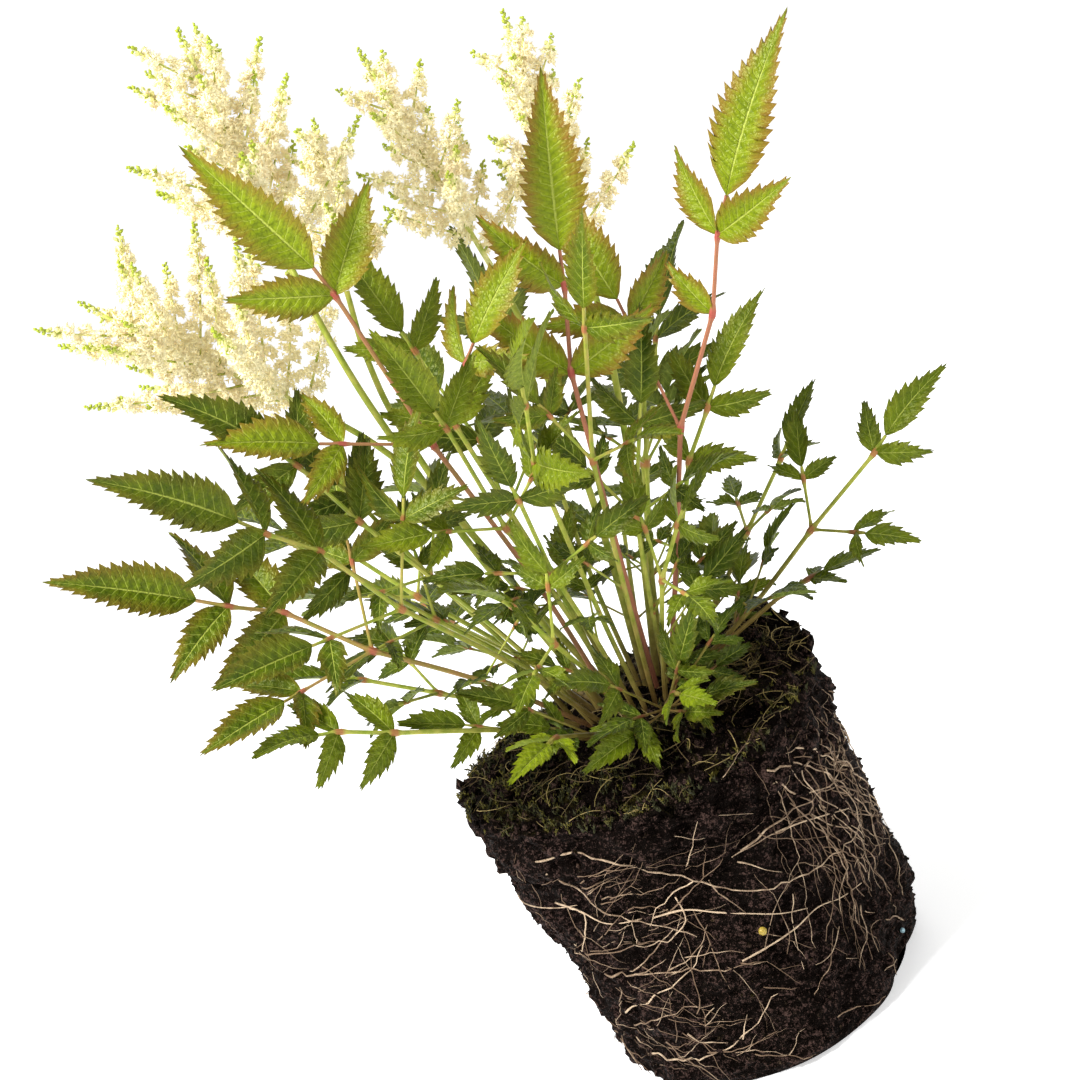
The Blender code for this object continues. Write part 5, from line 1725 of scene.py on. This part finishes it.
def plan_sprig(name, rachis, draw):
    """A trio of small leaflets low on a rachis, with its root, or None where it would touch."""
    own = name + " stalks"
    foot, knee, above = rachis.points[1:4]
    share = draw.uniform(*SPRIG_ROOTS)
    root = foot.lerp(knee, share) if share < 1 else knee.lerp(above, share - 1)
    heading = direction(math.degrees(draw.uniform(-math.pi, math.pi)), draw.uniform(*SPRIG_LEANS))
    leaf = draw.uniform(*SPRIG_LEAF)
    fork = root + heading * draw.uniform(*SPRIG_STALKS) * MM
    end = fork + heading * (END_STALK * leaf)
    stem = Tube([root, end], [SPRIG_RADIUS] * 2)
    if not PLAN.space.clear(tube_shell(stem, SPRIG_GAP), own):
        return None
    look_up = leaf_face(math.degrees(math.atan2(root.y, root.x)))
    facing = (look_up - heading * look_up.dot(heading)).normalized()
    blades = []
    for angle, size in SPRIG_TRIO:
        along = turned(heading, facing, angle + draw.uniform(-SPRIG_STRAY, SPRIG_STRAY))
        face = turned(facing, along, draw.uniform(-LEAFLET_TWIST, LEAFLET_TWIST))
        hook = draw.uniform(-BLADE_HOOK, BLADE_HOOK)
        length = leaf * size
        blade = Blade(fork if angle else end, along, face, length, length * SIDE_BLADE_WIDTH, hook)
        if not PLAN.space.clear(blade_shell(blade, SPRIG_GAP), own):
            return None
        blades.append(blade)
    for blade in blades:
        PLAN.space.take(blade_shell(blade, 0), "inner leaves")
    PLAN.space.take(tube_shell(stem, 0), own)
    half = heading * (JOINT_LENGTH / 2)
    borne = {(0, 1): blades[0], (0, -1): blades[1]}
    return Stalk([fork - half, fork + half, end], [SPRIG_RADIUS] * 3, facing, borne, blades[2]), root


class ASTILBE_OT_flower_stalks(bpy.types.Operator):
    """Raise the round flower stalks"""

    bl_idname = "astilbe.flower_stalks"
    bl_label = "Flower stalks"

    def execute(self, context):
        finish = stalk_finish(context.scene.astilbe_leaves)
        for name, (stalk, _, _) in PLAN.plumes.items():
            piece = Gathering("leaf_tint")
            path, stations = smooth_path(stalk.points, STALK_STEP)
            girth = np.interp(stations, np.arange(len(stalk.radii)), stalk.radii)
            height = np.clip((path[:, 2] - BALL_HEIGHT) / STALK_BLUSH_HEIGHT, 0, 1)
            points, faces = tube(path, girth, FLOWER_STALK_SIDES)
            flush = np.full(len(path), FLOWER_STALK_FLUSH)
            tint = told_along(np.stack([0 * height, flush, height], -1), FLOWER_STALK_SIDES)
            piece.add(points, faces, 0, leaf_tint=tint)
            dressed(piece.made("green_stalk_" + name, [finish]), "flower_stalk", "flower_stalk_" + name)
        return {"FINISHED"}


class ASTILBE_OT_plumes(bpy.types.Operator):
    """Fill the plumes with sprays of florets and buds"""

    bl_idname = "astilbe.plumes"
    bl_label = "Plumes"

    def execute(self, context):
        plumes = context.scene.astilbe_plumes
        finishes = [floret_finish(plumes), branch_finish(plumes)]
        for name, (_, axis, spikes) in PLAN.plumes.items():
            draw = draws_for("plume_" + name)
            piece = Gathering("floret_tint")
            path, _ = smooth_path(axis.points, STALK_STEP)
            points, faces = tube(path, np.linspace(*AXIS_RADII, len(path)) * MM, STALK_SIDES)
            piece.add(points, faces, 1)
            for spike in list(spikes) + between_spikes(spikes, draw):
                add_spray(piece, spike, draw, draw.uniform(*SPIKE_AGES))
            dressed(piece.made("frothy_plume_" + name, finishes), "cream_floret", "plume_" + name)
        return {"FINISHED"}


class ASTILBE_OT_peat(bpy.types.Operator):
    """Build the crumbly root ball"""

    bl_idname = "astilbe.peat"
    bl_label = "Peat"

    def execute(self, context):
        finish = peat_finish(context.scene.astilbe_ball)
        piece = Gathering("peat_tint")
        add_peat(piece)
        draw = draws_for("crumbs")
        spots, sizes = [], []
        for _ in range(LOOSE_CRUMBS):
            turn = draw.uniform(-math.pi, math.pi)
            kind, place = "top", math.sqrt(draw.uniform())
            if draw.uniform() > LOOSE_ON_TOP:
                kind, place = "wall", BALL_HEIGHT * draw.uniform(LOOSE_LOWEST, 1.0) ** LOOSE_UPWARDS
            spot, out, _ = peat_point(kind, place, turn)
            size = LOOSE_RADIUS * MM + LOOSE_SPANS[kind] * MM * draw.uniform() ** LOOSE_RARITY
            spots.append(spot + out * (crumbs(spot) + LOOSE_OUT * size))
            sizes.append(size)
        add_lumps(piece, spots, sizes, draw, peat_tint=LOOSE_TINT)
        dressed(piece.made("crumbly_peat", [finish]), "peat", "root_ball")
        return {"FINISHED"}


class ASTILBE_OT_roots(bpy.types.Operator):
    """Wrap the ball in tan roots"""

    bl_idname = "astilbe.roots"
    bl_label = "Roots"

    def execute(self, context):
        ball = context.scene.astilbe_ball
        piece = Gathering("root_tint")
        draw = draws_for("free roots")
        laid = thick_roots() + laid_roots(draw)
        for i, (points, radius) in enumerate(laid + free_roots(ball.roots, draw)):
            if len(points) < FEWEST_ROOT_POINTS:
                continue
            pale = draw.uniform(*(LAID_PALENESS if i < len(laid) else FREE_PALENESS))
            path, _ = smooth_path(points, ROOT_SPACING)
            radii = radius * np.linspace(*ROOT_TAPER, len(path)) * draw.uniform(*ROOT_KNOTS, len(path))
            shape, faces = tube(path, radii, ROOT_SIDES)
            piece.add(shape, faces, 0, root_tint=(pale, 0, 0))
        dressed(piece.made("tan_roots", [root_finish(ball)]), "peat")
        return {"FINISHED"}


def thick_roots():
    """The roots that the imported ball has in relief, laid again by their rule."""
    draw = random.Random("roots")
    roots = []
    for i in range(ROOT_COUNT):
        stray = draw.uniform(-RELIEF_STRAY, RELIEF_STRAY)
        angle = math.radians(RELIEF_FROM + 360 / ROOT_COUNT * i + stray)
        height = BALL_HEIGHT * draw.uniform(*ROOT_HEIGHTS)
        slope = draw.uniform(*RELIEF_SLOPES)
        points = []
        for _ in range(draw.randint(*RELIEF_STEPS)):
            points.append(on_wall(angle, height))
            angle += ROOT_STEP / BALL_TOP_RADIUS * math.cos(slope)
            height += ROOT_STEP * math.sin(slope)
            slope += draw.uniform(*RELIEF_TURNS)
        roots.append((points, RELIEF_THINNING * ROOT_RADIUS))
    return roots


def laid_roots(draw):
    """The plainest roots, with a shiver added between their laid points."""
    roots = []
    for radius, laid in LAID_ROOTS:
        knots = [Vector((math.radians(turn), height * MM * LAID_SCALE, 0)) for turn, height in laid]
        points = []
        for turn, height, _ in smooth_path(knots, LAID_SPACING)[0]:
            turn += draw.normal(0, LAID_TURN_SHAKE)
            points.append(on_wall(turn, height / LAID_SCALE + draw.normal(0, LAID_HEIGHT_SHAKE) * MM))
        roots.append((points, LAID_THINNING * radius * MM))
    return roots


def free_roots(count, draw):
    """Finer roots: a bundle at the right, flat ones at the lower left, the rest all round."""
    roots = []
    for _ in range(count):
        chance = draw.uniform()
        if chance < BUNDLE_BELOW:
            kind, turn = BUNDLE, math.radians(draw.normal(*BUNDLE_HEADING))
        elif chance < FLAT_BELOW:
            kind, turn = FLAT, math.radians(draw.uniform(*FLAT_HEADINGS))
        else:
            kind, turn = STRAY, draw.uniform(-math.pi, math.pi)
        height = BALL_HEIGHT * draw.uniform(*kind.heights)
        slope, length = draw.normal(*kind.slopes), draw.uniform(*kind.lengths) * MM
        radius = (FREE_RADIUS + FREE_RADIUS_SPAN * draw.uniform() ** 2) * MM
        path = root_path(draw, turn, height, slope, length, FREE_WANDER)
        roots.append((path, radius))
        if len(path) > FORK_POINTS and draw.uniform() < FORK_CHANCE:
            spot = path[int(draw.integers(2, len(path) - 3))]
            slope += draw.choice([-FORK_ANGLE, FORK_ANGLE])
            turn = math.atan2(spot.y, spot.x)
            fork = root_path(draw, turn, spot.z, slope, length * FORK_LENGTH, FORK_WANDER)
            roots.append((fork, FORK_THINNING * radius))
    return roots


class ASTILBE_OT_soil_cover(bpy.types.Operator):
    """Scatter moss and straw over the soil"""

    bl_idname = "astilbe.soil_cover"
    bl_label = "Moss and straw"

    def execute(self, context):
        ball = context.scene.astilbe_ball
        piece = Gathering("litter_tint")
        draw = draws_for("litter")
        for _ in range(ball.straws):
            add_straw(piece, draw)
        for _ in range(ball.shoots):
            add_moss_shoot(piece, draw)
        dressed(piece.made("moss_and_straw", [litter_finish(ball)]), "peat")
        for name, (turn, height), radius, colour in SPECKS:
            piece = Gathering()
            spot = on_wall(math.radians(turn), height * MM)
            rings = np.linspace(0, math.pi, SPECK_RINGS)
            path = [spot + Vector((0, 0, -radius * math.cos(ring))) for ring in rings]
            radii = [max(radius * math.sin(ring), SPECK_POLE) for ring in rings]
            piece.add(*tube(path, radii, SPECK_SIDES))
            dressed(piece.made(name, [speck_finish(name, colour)]), "peat")
        return {"FINISHED"}


def top_spot(draw, outwards=0.5):
    """A point on the soil surface."""
    turn = draw.uniform(-math.pi, math.pi)
    spot, out, _ = peat_point("top", draw.uniform() ** outwards, turn)
    return spot + out * crumbs(spot)


def add_straw(piece, draw):
    """Adds a dry fibre that lies on the soil or arches out of it, or hangs down the lump's front."""
    spot = top_spot(draw)
    heading = draw.uniform(0, 2 * math.pi)
    length = draw.uniform(*STRAW_LENGTHS) * MM
    bow = draw.normal(0, STRAW_BOW)
    rise = draw.uniform() ** 3 * STRAW_RISE
    pale = draw.uniform() ** STRAW_PALENESS
    if draw.uniform() < HANGING_SHARE:
        spot = Vector((LUMP_X + draw.normal(*HANGING_X) * MM, LUMP_Y + draw.normal(*HANGING_Y) * MM, 0))
        heading = math.radians(draw.normal(*HANGING_HEADING))
        pale = pale**HANGING_PALENESS
    points = []
    for t in np.linspace(0, 1, STRAW_POINTS):
        x = spot.x + length * t * math.cos(heading + bow * t)
        y = spot.y + length * t * math.sin(heading + bow * t)
        if math.hypot(x, y) > BALL_TOP_RADIUS:
            break
        arch = rise * length * t * (STRAW_ARCH - t)
        points.append((x, y, soil_height(x, y) + STRAW_OVER_SOIL + arch))
    if len(points) < FEWEST_STRAW_POINTS:
        return
    radii = draw.uniform(*STRAW_RADII) * MM * np.linspace(*STRAW_TAPER, len(points))
    shape, faces = tube(points, radii, STRAW_SIDES)
    piece.add(shape, faces, 0, litter_tint=(draw.choice(STRAW_TINTS), pale, 0.0))


def add_moss_shoot(piece, draw):
    """Adds a short moss shoot with pointed leaves up its sides, in patches on the left and front."""
    spot = top_spot(draw, MOSS_OUTWARDS)
    left = MOSS_TO_LEFT * (-spot.x / BALL_TOP_RADIUS)
    if noise.noise(spot / MOSS_PATCH_SIZE) + left + MOSS_LEVEL < 0:
        return
    lean = Vector((draw.normal(0, SHOOT_LEAN), draw.normal(0, SHOOT_LEAN), 1)).normalized()
    height = draw.uniform(*MOSS_HEIGHTS) * MM
    chance = draw.uniform()
    points, faces = [], []
    for i in range(MOSS_LEAVES):
        foot = spot + lean * (height * i / MOSS_LEAVES)
        away = direction(GOLDEN_ANGLE * i + 360 * chance, MOSS_LEAF_LEAN)
        side = away.cross(lean).normalized() * MOSS_LEAF_WIDTH
        tip = foot + (away + lean * MOSS_LEAF_RISE) * MOSS_LEAF_LENGTH
        k = len(points)
        points += [foot - side, foot + side, tip, foot - lean * MOSS_LEAF_DEPTH]
        faces += [(k, k + 1, k + 2), (k + 1, k, k + 3), (k, k + 2, k + 3), (k + 2, k + 1, k + 3)]
    piece.add([tuple(p) for p in points], faces, 0, litter_tint=(0.0, chance, 0.0))


class ASTILBE_OT_studio(bpy.types.Operator):
    """Set the camera, the pale floor and the soft light"""

    bl_idname = "astilbe.studio"
    bl_label = "Studio"

    def execute(self, context):
        scene = context.scene
        studio = scene.astilbe_studio
        set_camera(scene, studio)
        lay_floor(studio)
        light_room(scene, studio)
        scene.view_settings.view_transform = "Standard"
        return {"FINISHED"}


def set_camera(scene, studio):
    """Looks at the plant from in front and a little above, with the camera leaning to one side."""
    back = Vector((0, -math.cos(studio.elevation), math.sin(studio.elevation)))
    level = (-back).cross(UP).normalized()
    upright = level.cross(-back)
    right = level * math.cos(studio.roll) - upright * math.sin(studio.roll)
    up = level * math.sin(studio.roll) + upright * math.cos(studio.roll)
    camera = bpy.data.objects.new("camera", bpy.data.cameras.new("camera"))
    camera.matrix_world = Matrix((right, up, back)).transposed().to_4x4()
    camera.location = Vector((0, 0, studio.aim_height)) + back * studio.distance
    camera.data.lens = studio.lens
    camera.data.sensor_width = SENSOR_WIDTH
    scene.collection.objects.link(camera)
    scene.camera = camera


def lay_floor(studio):
    """A round floor that bends up into a wall all round."""
    floor = Gathering()
    k = np.arange(FLOOR_SIDES)
    turns = 2 * np.pi * k / FLOOR_SIDES
    bends = np.linspace(0, math.pi / 2, FLOOR_RINGS)
    reach = FLOOR_RADIUS + FLOOR_BEND * np.sin(bends)
    climb = FLOOR_BEND * (1 - np.cos(bends))
    rings = np.stack([np.outer(reach, np.cos(turns)), np.outer(reach, np.sin(turns)),
                      np.outer(climb, np.ones(FLOOR_SIDES))], -1)
    floor.add(rings, ring_quads(FLOOR_RINGS, FLOOR_SIDES)[:, [1, 0, 3, 2]])
    fan = np.stack([k, (k + 1) % FLOOR_SIDES, np.full(FLOOR_SIDES, FLOOR_SIDES)], -1)
    floor.add(np.vstack([rings[0], [0, 0, 0]]), fan)
    stage = floor.made("floor", [floor_finish(studio)])
    stage.location.z = -FLOOR_DROP


def light_room(scene, studio):
    """Soft white light from all round, with three soft boxes aimed at the plant."""
    world = bpy.data.worlds.new("soft white room")
    scene.world = world
    world.use_nodes = True
    background = world.node_tree.nodes["Background"]
    background.inputs["Color"].default_value = (1, 1, 1, 1)
    background.inputs["Strength"].default_value = ROOM_LIGHT
    for name, azimuth, lean, distance, size, power in SOFTBOXES:
        lamp = bpy.data.lights.new(name, "AREA")
        lamp.size = size
        lamp.energy = power
        box = bpy.data.objects.new(name, lamp)
        away = direction(azimuth, lean)
        box.location = Vector((0, 0, studio.aim_height)) + away * distance
        box.rotation_mode = "QUATERNION"
        box.rotation_quaternion = away.to_track_quat("Z", "Y")
        scene.collection.objects.link(box)


class ASTILBE_PT_panel(bpy.types.Panel):
    """Lists the pieces of the plant."""

    bl_idname = "ASTILBE_PT_panel"
    bl_label = "Astilbe plant"
    bl_space_type = "VIEW_3D"
    bl_region_type = "UI"
    bl_category = "Astilbe"

    def draw(self, context):
        """Shows each group's settings in a box, then a button for each piece."""
        scene = context.scene
        for group in GROUPS:
            box = self.layout.box()
            settings = getattr(scene, group)
            for name in settings.bl_rna.properties.keys():
                if name not in ("rna_type", "name"):
                    box.prop(settings, name)
        for operator in PIECES:
            self.layout.operator(operator.bl_idname)


GROUPS = {
    "astilbe_leaves": AstilbeLeaves,
    "astilbe_plumes": AstilbePlumes,
    "astilbe_ball": AstilbeBall,
    "astilbe_studio": AstilbeStudio,
}
PIECES = (
    ASTILBE_OT_peat,
    ASTILBE_OT_roots,
    ASTILBE_OT_soil_cover,
    ASTILBE_OT_flower_stalks,
    ASTILBE_OT_plumes,
    ASTILBE_OT_fronds,
    ASTILBE_OT_inner_leaves,
    ASTILBE_OT_studio,
)


def register():
    """Makes the settings, pieces and panel known to Blender."""
    for made in (*GROUPS.values(), *PIECES, ASTILBE_PT_panel):
        bpy.utils.register_class(made)
    for name, group in GROUPS.items():
        setattr(bpy.types.Scene, name, PointerProperty(type=group))


def unregister():
    """Takes the settings, pieces and panel away again."""
    for name in GROUPS:
        delattr(bpy.types.Scene, name)
    for made in reversed((*GROUPS.values(), *PIECES, ASTILBE_PT_panel)):
        bpy.utils.unregister_class(made)


def main():
    """Builds every piece and the stage."""
    register()
    for operator in PIECES:
        group, name = operator.bl_idname.split(".")
        getattr(getattr(bpy.ops, group), name)()


if __name__ == "__main__":
    main()
